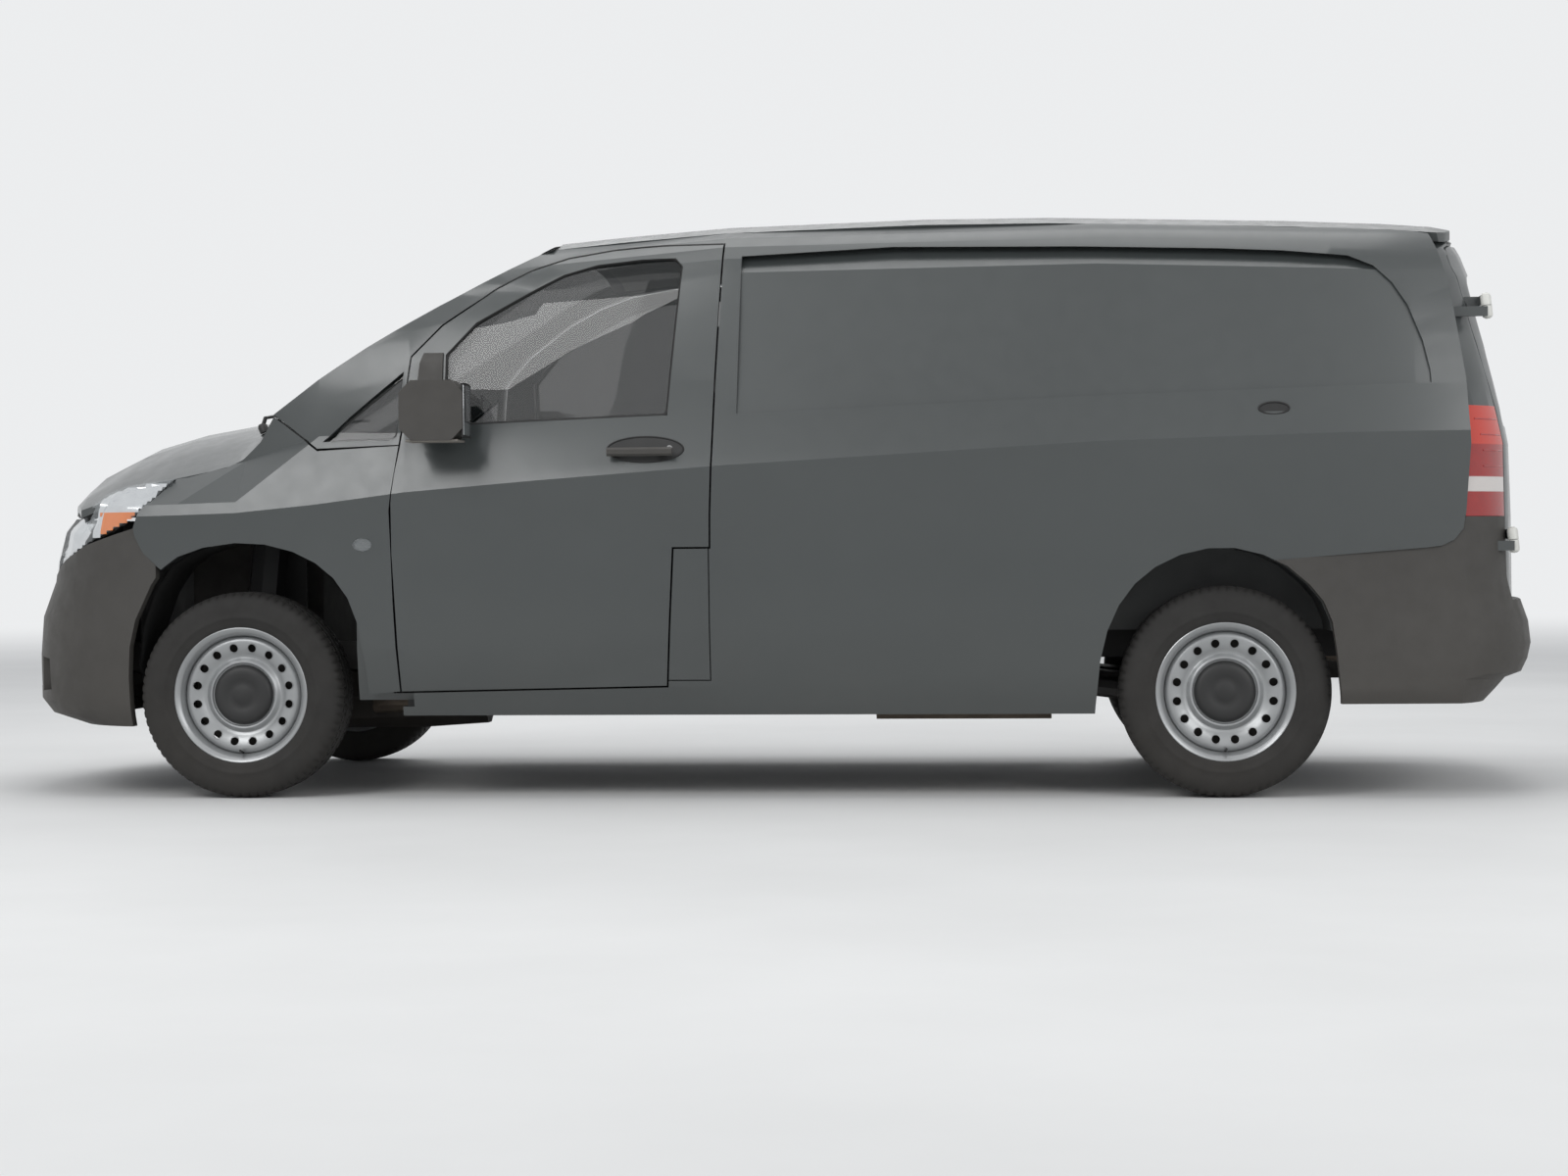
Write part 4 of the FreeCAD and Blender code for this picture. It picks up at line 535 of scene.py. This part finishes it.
def wheel_disc():
    """Pressed disc with its ring of round holes."""
    back = [(o - DISC_THICK, r) for o, r in reversed(DISC_FACE)]
    verts, faces = ring_mesh(DISC_FACE + back, 128)
    mesh = bpy.data.meshes.new("wheel_disc")
    mesh.from_pydata(verts, [], faces)
    disc = bpy.data.objects.new("wheel_disc", mesh)
    scene.collection.objects.link(disc)
    work = bmesh.new()
    for k in range(HOLES):
        a = 2 * math.pi * (k + 0.5) / HOLES
        middle = Matrix.Translation((HOLE_CIRCLE * math.cos(a), -0.06, HOLE_CIRCLE * math.sin(a)))
        bmesh.ops.create_cone(
            work, cap_ends=True, segments=28, radius1=HOLE_RADIUS, radius2=HOLE_RADIUS, depth=0.08,
            matrix=middle @ Matrix.Rotation(math.pi / 2, 4, "X"))
    drill_mesh = bpy.data.meshes.new("drill")
    work.to_mesh(drill_mesh)
    work.free()
    drill = bpy.data.objects.new("drill", drill_mesh)
    scene.collection.objects.link(drill)
    cut = disc.modifiers.new("holes", "BOOLEAN")
    cut.object = drill
    cut.operation = "DIFFERENCE"
    cut.solver = "EXACT"
    done = baked(disc)
    bpy.data.objects.remove(disc)
    bpy.data.objects.remove(drill)
    return done


def hole_rings():
    """Rolled edges round the holes."""
    verts = []
    faces = []
    along = 24
    wrap = 6
    for k in range(HOLES):
        a = 2 * math.pi * (k + 0.5) / HOLES
        spin = Matrix.Rotation(-a, 3, "Y")
        first = len(verts)
        for t in around(along):
            for roll in around(wrap):
                r = HOLE_EDGE + EDGE_ROLL * math.cos(roll)
                radial = HOLE_CIRCLE + r * math.cos(t)
                out = DISC_OUT + (radial - HOLE_CIRCLE) * DISC_SLOPE + EDGE_ROLL * math.sin(roll)
                verts.append(spin @ Vector((radial, -out, r * math.sin(t))))
        for i in range(along):
            here = first + i * wrap
            after = first + ((i + 1) % along) * wrap
            for j in range(wrap):
                faces.append((here + j, here + (j + 1) % wrap, after + (j + 1) % wrap, after + j))
    return verts, faces


TYRE = ring_mesh(tyre_profile(), 288, tread)
BARREL = ring_mesh(WHEEL_RIM, 96)
DISC = wheel_disc()
DISC_DATA = ([tuple(v.co) for v in DISC.vertices], [tuple(p.vertices) for p in DISC.polygons])
BRAKE = ring_mesh(
    [(0.012, 0.177), (0.018, 0.172), (0.018, 0.075), (-0.05, 0.075), (-0.05, 0.172), (-0.044, 0.177)], 64)
HUB = disc_mesh(
    [(0.052, 0.0), (0.052, 0.085), (0.03, 0.09), (-0.05, 0.09), (-0.056, 0.08), (-0.056, 0.0)], 48)
CAP_MESH = disc_mesh(CAP, 72)
RINGS = hole_rings()
VALVE = ((0.0, -0.070, -0.190), (0.0, -0.096, -0.184), (0.0, -0.108, -0.181))


def wheel(name, x, side):
    """One wheel: tyre, rim, disc, hub cap, brake and valve; side is -1 on the left."""
    spin = Matrix.Rotation(0 if side < 0 else math.pi, 3, "Z")
    centre = Vector((x, side * WHEEL_Y, AXLE_Z))
    parts = [
        ("tyre", TYRE, RUBBER, 40, (name + "_tyre",)),
        ("rim", BARREL, SILVER, 40, (name + "_rim",)),
        ("disc", DISC_DATA, SILVER, 32, (name + "_rim",)),
        ("hole_edges", RINGS, SILVER, 60, ()),
        ("brake_drum", BRAKE, CAST, 30, ()),
        ("hub", HUB, CAST, 30, (name + "_rim",)),
        ("cap", CAP_MESH, DARK, 28, ()),
    ]
    for label, (verts, faces), finish, angle, instead in parts:
        placed = [spin @ Vector(v) + centre for v in verts]
        piece(f"{name}_wheel_{label}", placed, faces, finish, name + "_wheel", angle, instead)
    stem = [spin @ Vector(p) + centre for p in VALVE]
    tube(name + "_wheel_valve", stem, 0.0042, SEAL, name + "_wheel")


wheel("left_front", FRONT_AXLE, -1)
wheel("right_front", FRONT_AXLE, 1)
wheel("left_rear", REAR_AXLE, -1)
wheel("right_rear", REAR_AXLE, 1)


# Window seals
def seal(name, node, way, radius, body, lean=0.4, pull=0.0):
    """Rubber along the outer border of a glass, drawn in towards the middle plane by pull."""
    for loop in borders(node, way, lean)[:1]:
        line = rounded(loop)
        for point in line:
            point.y -= math.copysign(min(pull, abs(point.y)), point.y)
        tube(f"{name}_seal", line, radius, SEAL, body, closed=True)


for side, label in SIDES:
    seal(label + "_door_window", label + "_door_glass", (0, side, 0), SEAL_RADIUS, label + "_door")
    seal(label + "_quarter_window", "quarter_glass", (0, side, 0), SEAL_RADIUS, "body")
    seal(label + "_rear_window", label + "_rear_glass", (1, 0, 0), SEAL_RADIUS, label + "_rear_door")
seal("windscreen", "windscreen", (-1, 0, 0.9), 0.009, "body", 0.6, pull=0.014)


# Front: lamps behind their lenses, bonnet seal, plates
LAMP_EYE = Vector((-1.93, -0.50, 0))
LAMP_COLUMNS = 64
LAMP_LEVELS = 28
LAMP_START = -18
LAMP_SWEEP = 118
LAMP_LOW = 0.74
LAMP_RISE = 0.32
LAMP_DEPTH = 0.014
# Angle in degrees, height and reach of the two bowls
BOWLS = ((8, 0.84, 0.085), (42, 0.915, 0.075))
BOWL_DEPTH = 0.030
DIVIDER = range(34, 37)
AMBER_FROM = 40
AMBER_TOP = 0.935
BULB = [(0.016, 0), (0.015, 0.010), (0.008, 0.017), (-0.010, 0.018), (-0.010, 0)]


def lamp_height(level):
    """Height of one level of the reflector's grid."""
    return LAMP_LOW + LAMP_RISE * level / (LAMP_LEVELS - 1)


def lamp_point(angle, z, depth, side):
    """Point at a depth under a headlamp's lens, seen from inside the nose at an angle and height."""
    way = Vector((-math.cos(angle), -math.sin(angle), 0))
    eye = LAMP_EYE + Vector((0, 0, z))
    spot = touch("headlamps", eye + way * 1.2, -way)
    if spot is None:
        return None
    spot = spot - way * depth
    return Vector((spot.x, spot.y * -side, spot.z))


def headlamp(label, side):
    """Chrome bowls, amber indicator and dark divider inside one lens."""
    grid = {}
    for i in range(LAMP_COLUMNS):
        angle = math.radians(LAMP_START + LAMP_SWEEP * i / (LAMP_COLUMNS - 1))
        for k in range(LAMP_LEVELS):
            z = lamp_height(k)
            depth = LAMP_DEPTH
            for centre, height, reach in BOWLS:
                d = math.hypot((angle - math.radians(centre)) * 0.42, z - height)
                if d < reach:
                    depth = LAMP_DEPTH + BOWL_DEPTH * (1 - (d / reach) ** 2)
            spot = lamp_point(angle, z, depth, side)
            if spot is not None:
                grid[(i, k)] = spot
    order = sorted(grid)
    index = {key: n for n, key in enumerate(order)}
    chrome = []
    amber = []
    dark = []
    for (i, k) in order:
        corner = [(i, k), (i + 1, k), (i + 1, k + 1), (i, k + 1)]
        if all(c in index for c in corner):
            face = tuple(index[c] for c in corner)
            if i in DIVIDER:
                dark.append(face)
            elif i >= AMBER_FROM and lamp_height(k) < AMBER_TOP:
                amber.append(face)
            else:
                chrome.append(face)
    spots = [grid[key] for key in order]
    piece(f"{label}_lamp_reflector", spots, chrome, CHROME, "body", 60)
    piece(f"{label}_lamp_indicator", spots, amber, AMBER, "body", 60)
    piece(f"{label}_lamp_divider", spots, dark, DARK, "body", 60)
    for number, (degrees, z, _) in enumerate(BOWLS):
        angle = math.radians(degrees)
        place = lamp_point(angle, z, BOWL_DEPTH, side)
        if place is not None:
            way = (-math.cos(angle), math.sin(angle) * side, 0)
            turned(f"{label}_lamp_bulb_{number}", BULB, 28, place, way, CLEAR, "body")


headlamp("left", -1)
headlamp("right", 1)

BONNET_EDGE = [
    (-2.385, 0.0), (-2.378, 0.2), (-2.353, 0.4), (-2.318, 0.55), (-2.258, 0.665), (-2.13, 0.712),
    (-2.02, 0.745), (-1.91, 0.765), (-1.80, 0.77)]


def bonnet_seal():
    """Rubber strip under the rim of the bonnet."""
    line = []
    for x, y in [(x, -y) for x, y in reversed(BONNET_EDGE)] + BONNET_EDGE[1:]:
        spot = touch("hood", (x, y, 0.5), (0, 0, 1))
        if spot is not None:
            line.append(spot - Vector((0, 0, 0.016)))
    tube("bonnet_seal", line, 0.015, SEAL, "body")


bonnet_seal()


BEYOND = 3.2


def plate(name, node, half, z0, z1, way, finish, lift, thick):
    """A thin sheet bent over a node's surface, met by rays along X; way is 1 from the front."""
    n = 24
    m = 6
    verts = []
    for layer in (lift, lift - thick):
        for i in range(n + 1):
            for k in range(m + 1):
                y = -half + 2 * half * i / n
                z = z0 + (z1 - z0) * k / m
                spot = touch(node, (-way * BEYOND, y, z), (way, 0, 0))
                if spot is None:
                    return
                verts.append(spot - Vector((way * layer, 0, 0)))
    count = (n + 1) * (m + 1)
    faces = []
    row = m + 1
    for i in range(n):
        for k in range(m):
            a = i * row + k
            quad = (a, a + row, a + row + 1, a + 1)
            faces.append(quad)
            faces.append(tuple(count + q for q in reversed(quad)))
    rim = [i * row for i in range(n)] + [n * row + k for k in range(m)]
    rim += [i * row + m for i in range(n, 0, -1)] + list(range(m, 0, -1))
    for a, b in zip(rim, rim[1:] + rim[:1]):
        faces.append((a, b, count + b, count + a))
    piece(name, verts, faces, finish, "body", 40)


plate("front_plate_holder", "front_bumper", 0.27, 0.540, 0.668, 1, DARK, 0.008, 0.012)
plate("front_plate_blank", "front_bumper", 0.26, 0.548, 0.660, 1, PLATE, 0.011, 0.003)
plate("rear_plate_blank", "rear_bumper", 0.26, 0.470, 0.580, -1, PLATE, 0.005, 0.004)


# Windscreen wipers, mirror glass and small body pieces
WIPER_Z = 1.262
WIPER_RISE = 0.03
WIPER_PIVOT = [(0.012, 0), (0.010, 0.012), (0.0, 0.017), (-0.02, 0.017), (-0.02, 0)]


def wiper(name, pivot_y, tip_y):
    """Arm and blade that lie on the lower windscreen."""
    blade = []
    for k in range(9):
        y = pivot_y + (tip_y - pivot_y) * (0.18 + 0.82 * k / 8)
        spot = touch("windscreen", (-BEYOND, y, WIPER_Z + WIPER_RISE * k / 8), (1, 0, 0))
        if spot is not None:
            blade.append(spot + Vector((-0.006, 0, 0.008)))
    if len(blade) < 3:
        return
    tube(name + "_blade", blade, 0.006, SEAL, "body")
    root = Vector((blade[0].x - 0.05, pivot_y, blade[0].z - 0.035))
    middle = blade[len(blade) // 2]
    arm = [root, root + Vector((0.01, 0, 0.03)), middle + Vector((-0.014, 0, 0.014)), middle]
    tube(name + "_arm", arm, 0.007, DARK, "body")
    turned(name + "_pivot", WIPER_PIVOT, 24, root, (-0.4, 0, 0.9), DARK, "body")


wiper("left_wiper", -0.50, 0.06)
wiper("right_wiper", 0.02, 0.56)

BOWL_RIM_OUT = 0.0005
BOWL_OUT = 0.0012
BOWL_THICK = 0.004


def oval(name, node, side, middle, half, finish):
    """A thin oval plate with a rim, laid on the side of a CAD node."""
    steps = 48
    rim = []
    front = []
    for turn in around(steps):
        x = middle[0] + half[0] * math.cos(turn)
        z = middle[1] + half[1] * math.sin(turn)
        spot = touch(node, (x, side * OUTSIDE, z), (0, -side, 0))
        if spot is not None:
            rim.append(spot + Vector((0, side * BOWL_RIM_OUT, 0)))
            front.append(spot + Vector((0, side * BOWL_OUT, 0)))
    spot = touch(node, (middle[0], side * OUTSIDE, middle[1]), (0, -side, 0))
    if spot is None or len(rim) < steps:
        return
    tube(name + "_rim", rim, 0.003, SEAL, node, closed=True)
    inward = Vector((0, side * BOWL_THICK, 0))
    back = [point - inward for point in front]
    verts = front + back + [spot + Vector((0, side * BOWL_OUT, 0)), spot - inward]
    faces = []
    for k in range(steps):
        after = (k + 1) % steps
        faces.append((k, after, 2 * steps))
        faces.append((steps + after, steps + k, 2 * steps + 1))
        faces.append((k, steps + k, steps + after, after))
    piece(name, verts, faces, finish, node, 30)


MIRROR_Z = 1.254
KEY = [(0.004, 0), (0.004, 0.006), (0.002, 0.009), (-0.01, 0.009), (-0.01, 0)]
for side, label in SIDES:
    # The glass faces back, in the housing outside the door
    door = label + "_door"
    mid_y = side * (HALF + 0.088)
    slab(label + "_mirror_glass", (-0.886, mid_y, MIRROR_Z), (0.004, 0.118, 0.160), CHROME, door, 0.0015)
    slab(label + "_mirror_rim", (-0.8885, mid_y, MIRROR_Z), (0.006, 0.132, 0.174), SEAL, door, 0.002)
    slab(label + "_mirror_lip", (-0.989, mid_y, 1.158), (0.170, 0.120, 0.008), TRIM, door, 0.003)
    spot = touch(door, (-0.247, side * OUTSIDE, 1.132), (0, -side, 0))
    if spot is not None:
        turned(door + "_key", KEY, 24, spot, (0, side, 0), STEEL, door)
        oval(label + "_handle_bowl", door, side, (-0.326, 1.128), (0.124, 0.041), DARK)


def side_plug():
    """Oval plug with a rubber rim high on the left side."""
    spot = touch("left_body_side", (1.678, -OUTSIDE, 1.238), (0, 1, 0))
    if spot is None:
        return
    steps = 40
    rim = [spot + Vector((0.047 * math.cos(t), -0.001, 0.019 * math.sin(t))) for t in around(steps)]
    tube("side_plug_rim", rim, 0.0035, SEAL, "body", closed=True)
    front = [spot + Vector((0.044 * math.cos(t), -0.002, 0.017 * math.sin(t))) for t in around(steps)]
    back = [point + Vector((0, 0.004, 0)) for point in front]
    faces = [tuple(range(steps)), tuple(reversed(range(steps, 2 * steps)))]
    for k in range(steps):
        after = (k + 1) % steps
        faces.append((k, after, steps + after, steps + k))
    piece("side_plug", front + back, faces, DARK, "body", 30)


side_plug()


# Rear: hinge caps, door handle, lamps
HINGES = ((2.368, 0.765, 1.566), (2.440, 0.822, 0.816))
HINGE_CAP = [(0.042, 0), (0.041, 0.008), (0.036, 0.0150), (0.030, 0.0170), (0.001, 0.0170), (0.001, 0)]
for side, label in SIDES:
    upper, lower = [Vector((x, side * y, z)) for x, y, z in HINGES]
    lean = (upper - lower).normalized()
    for number, spot in enumerate((upper, lower)):
        turned(f"{label}_hinge_cap_low_{number}", HINGE_CAP, 36, spot, -lean, WHITE, "body")
        turned(f"{label}_hinge_cap_top_{number}", HINGE_CAP, 36, spot, lean, WHITE, label + "_rear_door")

spot = touch("right_rear_door", (BEYOND, 0.11, 0.96), (-1, 0, 0))
if spot is not None:
    slab("rear_handle_bowl", spot + Vector((0.002, 0, 0)), (0.012, 0.15, 0.07), DARK,
         "right_rear_door", 0.005)
    slab("rear_handle_grip", spot + Vector((0.016, 0.01, 0.008)), (0.016, 0.11, 0.022), PLASTIC,
         "right_rear_door", 0.006)
spot = touch("roof", (2.24, 0.0, 3.0), (0, 0, -1))
if spot is not None:
    slab("high_brake_lamp", spot + Vector((0.02, 0, 0.001)), (0.045, 0.26, 0.016), RED, "body", 0.007)

for side, label in SIDES:
    for number, z in enumerate((1.05, 1.10, 1.15, 1.20)):
        line = []
        for k in range(9):
            y = side * (0.80 + 0.09 * k / 8)
            spot = touch("tail_lamps", (BEYOND, y, z), (-1, 0, 0))
            if spot is not None:
                line.append(spot + Vector((0.0005, 0, 0)))
        if len(line) > 2:
            tube(f"{label}_lamp_rib_{number}", line, 0.0022, RED, "body")


# Front wheel liners, trimmed to the arch
ARCH = [
    (-1.962, 0.30), (-1.995, 0.438), (-1.982, 0.564), (-1.945, 0.665), (-1.892, 0.745), (-1.83, 0.785),
    (-1.75, 0.812), (-1.634, 0.822), (-1.53, 0.806), (-1.432, 0.768), (-1.352, 0.704), (-1.299, 0.618),
    (-1.271, 0.52), (-1.255, 0.40)]
LINER_FACES = (0.020, 0.023)
LINER_Y = (0.885, 0.80, 0.70, 0.61)


def liner(name, side):
    """Curved sheet inside a front arch."""
    verts = []
    outer = [Vector((x, 0, z)) for x, z in ARCH]
    for grow in LINER_FACES:
        for i, p in enumerate(outer):
            a = outer[max(0, i - 1)]
            b = outer[min(len(outer) - 1, i + 1)]
            way = (b - a).normalized()
            out = Vector((-way.z, 0, way.x))
            q = p + out * grow
            for y in LINER_Y:
                verts.append(Vector((q.x, side * y, q.z)))
    n = len(outer)
    row = len(LINER_Y)
    faces = []
    for i in range(n - 1):
        for k in range(row - 1):
            a = i * row + k
            quad = (a, a + 1, a + row + 1, a + row)
            faces.append(quad)
            faces.append(tuple(n * row + q for q in reversed(quad)))
    piece(name, verts, faces, DARK, "body", 50, ("wheel_liners",))


liner("left_wheel_liner", -1)
liner("right_wheel_liner", 1)


# Cab: seats, headliner, belts, wheel grip
PAD_CUTS = 22
SEAM_WIDTH = 0.035


def pad(name, low, high, crown, lean=0.0, seams=()):
    """A crowned cushion between two corners: sides drawn in between corners, sewn channels across."""
    centre = (Vector(low) + Vector(high)) / 2
    half = (Vector(high) - Vector(low)) / 2
    work = bmesh.new()
    bmesh.ops.create_cube(work, size=2.0)
    bmesh.ops.subdivide_edges(work, edges=list(work.edges), cuts=PAD_CUTS, use_grid_fill=True)
    for v in work.verts:
        p = v.co
        q = Vector([math.copysign(abs(c) ** 0.92, c) for c in p])
        flat = [1 - abs(c) ** 4 for c in p]
        sixth = [abs(c) ** 6 for c in p]
        q *= 1 - 0.10 * (sixth[0] * sixth[1] + sixth[1] * sixth[2] + sixth[0] * sixth[2])
        q.x *= 1 - 0.035 * flat[1] * abs(p.x) ** 8 * (0.5 + 0.5 * flat[2])
        top = max(0.0, p.z) if crown[2] else 0.0
        q.z += crown[2] * flat[0] * flat[1] * top
        q.x += crown[0] * flat[1] * flat[2] * max(0.0, -p.x)
        dip = 0.0
        for place, depth in seams:
            dip += depth * math.exp(-((p.y - place) / SEAM_WIDTH) ** 2)
        if crown[2]:
            q.z -= dip * top
        else:
            q.x += dip * max(0.0, -p.x)
        v.co = (
            centre.x + q.x * half.x + lean * (q.z + 1), centre.y + q.y * half.y, centre.z + q.z * half.z)
    mesh = bpy.data.meshes.new(name)
    work.to_mesh(mesh)
    work.free()
    obj = dress(bpy.data.objects.new(name, mesh), CLOTH, "body", 60, ("seats",))


BELT_HALF = 0.023
BELT_THICK = 0.0016
BELT = ((-0.172, 0.775, 1.46), (-0.20, 0.765, 1.25), (-0.23, 0.762, 0.95), (-0.26, 0.76, 0.62))


def belt(name, side):
    """Flat band that hangs by the door pillar."""
    verts = []
    for x, y, z in BELT:
        outer = side * y
        inner = outer - side * BELT_THICK
        front = x - BELT_HALF
        rear = x + BELT_HALF
        verts += [(front, outer, z), (rear, outer, z), (rear, inner, z), (front, inner, z)]
    faces = []
    for first in range(0, len(verts) - 4, 4):
        for k in range(4):
            after = (k + 1) % 4
            faces.append((first + k, first + after, first + 4 + after, first + 4 + k))
    faces += [(0, 1, 2, 3), (12, 13, 14, 15)]
    piece(name, verts, faces, PIPING, "body", 40)


# Place across and depth of each sewn channel
SEAMS = ((-0.55, 0.05), (0.55, 0.05), (-0.18, 0.025), (0.18, 0.025))
for side, label in ((-1, "driver"), (1, "passenger")):
    y = side * SEAT_Y
    pad(label + "_seat_cushion", (-0.780, y - 0.247, 0.622), (-0.262, y + 0.247, 0.766), (0, 0, 0.08),
        seams=SEAMS)
    pad(label + "_seat_back", (-0.345, y - 0.236, 0.700), (-0.245, y + 0.236, 1.340), (-0.25, 0, 0),
        0.052, SEAMS)
    pad(label + "_headrest", (-0.190, y - 0.123, 1.395), (-0.112, y + 0.123, 1.557), (-0.2, 0, 0))
    for number, post_y in enumerate((y - 0.06, y + 0.06)):
        post = [(-0.150, post_y, 1.30), (-0.151, post_y, 1.41)]
        tube(f"{label}_headrest_post_{number}", post, 0.006, STEEL, "body")
    belt(label + "_belt", side)


def headliner():
    """Light lining under the cab roof."""
    verts = []
    rows = 10
    columns = 12
    for layer in (0.0, 0.006):
        for i in range(rows + 1):
            x = -0.60 + 0.56 * i / rows
            for k in range(columns + 1):
                y = -0.60 + 1.2 * k / columns
                spot = touch("roof", (x, y, 1.0), (0, 0, 1))
                z = spot.z if spot else 1.80
                verts.append((x, y, z - 0.012 - layer))
    row = columns + 1
    count = (rows + 1) * row
    faces = []
    for i in range(rows):
        for k in range(columns):
            a = i * row + k
            faces.append((a, a + 1, a + row + 1, a + row))
            faces.append((count + a, count + a + row, count + a + row + 1, count + a + 1))
    piece("headliner", verts, faces, TRIM, "body", 40)


headliner()


GRIP_RADIUS = 0.188


def steering_grip():
    """Thick rim over the steering wheel's rim."""
    hub = Vector((-0.805, -SEAT_Y, 1.030))
    across = Vector((0, 1, 0))
    down = Vector((0.82, 0, 0.57)).normalized().cross(across)
    line = []
    for t in around(48):
        line.append(hub + across * (GRIP_RADIUS * math.cos(t)) + down * (GRIP_RADIUS * math.sin(t)))
    tube("steering_grip", line, 0.0160, SEAL, "steering_wheel", closed=True)


steering_grip()
slab("driver_dial_hood", (-1.00, -SEAT_Y, 1.195), (0.10, 0.34, 0.05), DASH, "body", 0.02)
slab("centre_screen", (-0.995, 0.0, 1.125), (0.02, 0.22, 0.13), SEAL, "body", 0.004,
     Matrix.Rotation(math.radians(-20), 3, "Y"))


# Camera, studio and light
# The photograph's camera, fitted to the van's own points
EYE = (0.8853, -10.055, 0.8061)
YAW = 0.0839
PITCH = -0.0139
ROLL = -0.0076
FOCAL_PIXELS = 2907.1
PHOTO_WIDTH = 1600
SENSOR = 36.0


def camera():
    data = bpy.data.cameras.new("camera")
    data.sensor_width = SENSOR
    data.lens = FOCAL_PIXELS * SENSOR / PHOTO_WIDTH
    data.clip_end = 100
    eye = bpy.data.objects.new("camera", data)
    scene.collection.objects.link(eye)
    ahead = Vector((-math.sin(YAW) * math.cos(PITCH), math.cos(YAW) * math.cos(PITCH), math.sin(PITCH)))
    flat = Vector((math.cos(YAW), math.sin(YAW), 0))
    up = flat.cross(ahead)
    across = flat * math.cos(ROLL) + up * math.sin(ROLL)
    up = up * math.cos(ROLL) - flat * math.sin(ROLL)
    turn = Matrix((across, up, -ahead)).transposed().to_4x4()
    eye.matrix_world = Matrix.Translation(EYE) @ turn
    scene.camera = eye


def lamp(name, place, aim, size, power):
    """A soft rectangular lamp that looks at a point."""
    data = bpy.data.lights.new(name, "AREA")
    data.shape = "RECTANGLE"
    data.size, data.size_y = size
    data.energy = power
    obj = bpy.data.objects.new(name, data)
    scene.collection.objects.link(obj)
    way = Vector(aim) - Vector(place)
    obj.matrix_world = Matrix.Translation(place) @ way.to_track_quat("-Z", "Y").to_matrix().to_4x4()


PALE = (0.84, 0.85, 0.86, 1)
FADE_FROM = 6.0
FADE_TO = 24.0
FLOOR_RADIUS = 60
FLOOR_Z = -0.001


def looked_at(tree):
    """1 for rays that come from the camera, a gloss or a glass."""
    path = tree.nodes.new("ShaderNodeLightPath")
    value = path.outputs["Is Camera Ray"]
    for name in ("Is Transmission Ray", "Is Glossy Ray"):
        value = maths(tree, "MAXIMUM", value, path.outputs[name])
    return value


def floor_material():
    """Pale floor that gives way, far from the part, to the pale background for what looks at it."""
    made = bpy.data.materials.new("studio_floor")
    made.use_nodes = True
    tree = made.node_tree
    shader = tree.nodes["Principled BSDF"]
    coord = tree.nodes.new("ShaderNodeTexCoord").outputs["Object"]
    patches = spread(tree, noise(tree, coord, 0.8, 5.0), 0.0, 1.0)
    tint = mix(tree, patches, (0.71, 0.71, 0.70), (0.76, 0.76, 0.75))
    link(tree, tint, shader.inputs["Base Color"])
    shader.inputs["Roughness"].default_value = 0.75
    far = tree.nodes.new("ShaderNodeVectorMath")
    far.operation = "LENGTH"
    link(tree, coord, far.inputs[0])
    fade = tree.nodes.new("ShaderNodeMapRange")
    fade.interpolation_type = "SMOOTHSTEP"
    fade.inputs["From Min"].default_value = FADE_FROM
    fade.inputs["From Max"].default_value = FADE_TO
    link(tree, far.outputs["Value"], fade.inputs["Value"])
    pale = tree.nodes.new("ShaderNodeEmission")
    pale.inputs["Color"].default_value = PALE
    join = tree.nodes.new("ShaderNodeMixShader")
    link(tree, maths(tree, "MULTIPLY", fade.outputs["Result"], looked_at(tree)), join.inputs[0])
    link(tree, shader.outputs[0], join.inputs[1])
    link(tree, pale.outputs[0], join.inputs[2])
    link(tree, join.outputs[0], tree.nodes["Material Output"].inputs[0])
    return made


def studio():
    """Pale round floor that fades into a pale world, and soft lamps."""
    ring = [(FLOOR_RADIUS * math.cos(a), FLOOR_RADIUS * math.sin(a), FLOOR_Z) for a in around(96)]
    mesh = bpy.data.meshes.new("studio")
    mesh.from_pydata(ring, [], [tuple(range(len(ring)))])
    mesh.materials.append(floor_material())
    floor = bpy.data.objects.new("studio", mesh)
    scene.collection.objects.link(floor)
    world = bpy.data.worlds.new("world")
    scene.world = world
    world.use_nodes = True
    tree = world.node_tree
    ground = tree.nodes["Background"]
    ground.inputs["Color"].default_value = (0.92, 0.95, 1.0, 1)
    ground.inputs["Strength"].default_value = 0.5
    seen = tree.nodes.new("ShaderNodeBackground")
    seen.inputs["Color"].default_value = PALE
    seen.inputs["Strength"].default_value = 1.0
    join = tree.nodes.new("ShaderNodeMixShader")
    link(tree, looked_at(tree), join.inputs[0])
    link(tree, ground.outputs[0], join.inputs[1])
    link(tree, seen.outputs[0], join.inputs[2])
    link(tree, join.outputs[0], tree.nodes["World Output"].inputs[0])
    lamp("key", (-4.5, -7.5, 6.5), (0, 0, 0.8), (5.0, 4.0), 300)
    lamp("fill", (6.0, -6.0, 4.0), (0.5, 0, 0.8), (4.0, 4.0), 150)
    lamp("top", (0, 0, 7.5), (0, 0, 0), (7.0, 5.0), 190)
    lamp("back", (0, 7.0, 6.0), (0, 1, 1.0), (8.0, 3.0), 170)


camera()
studio()
scene.view_settings.view_transform = "Standard"
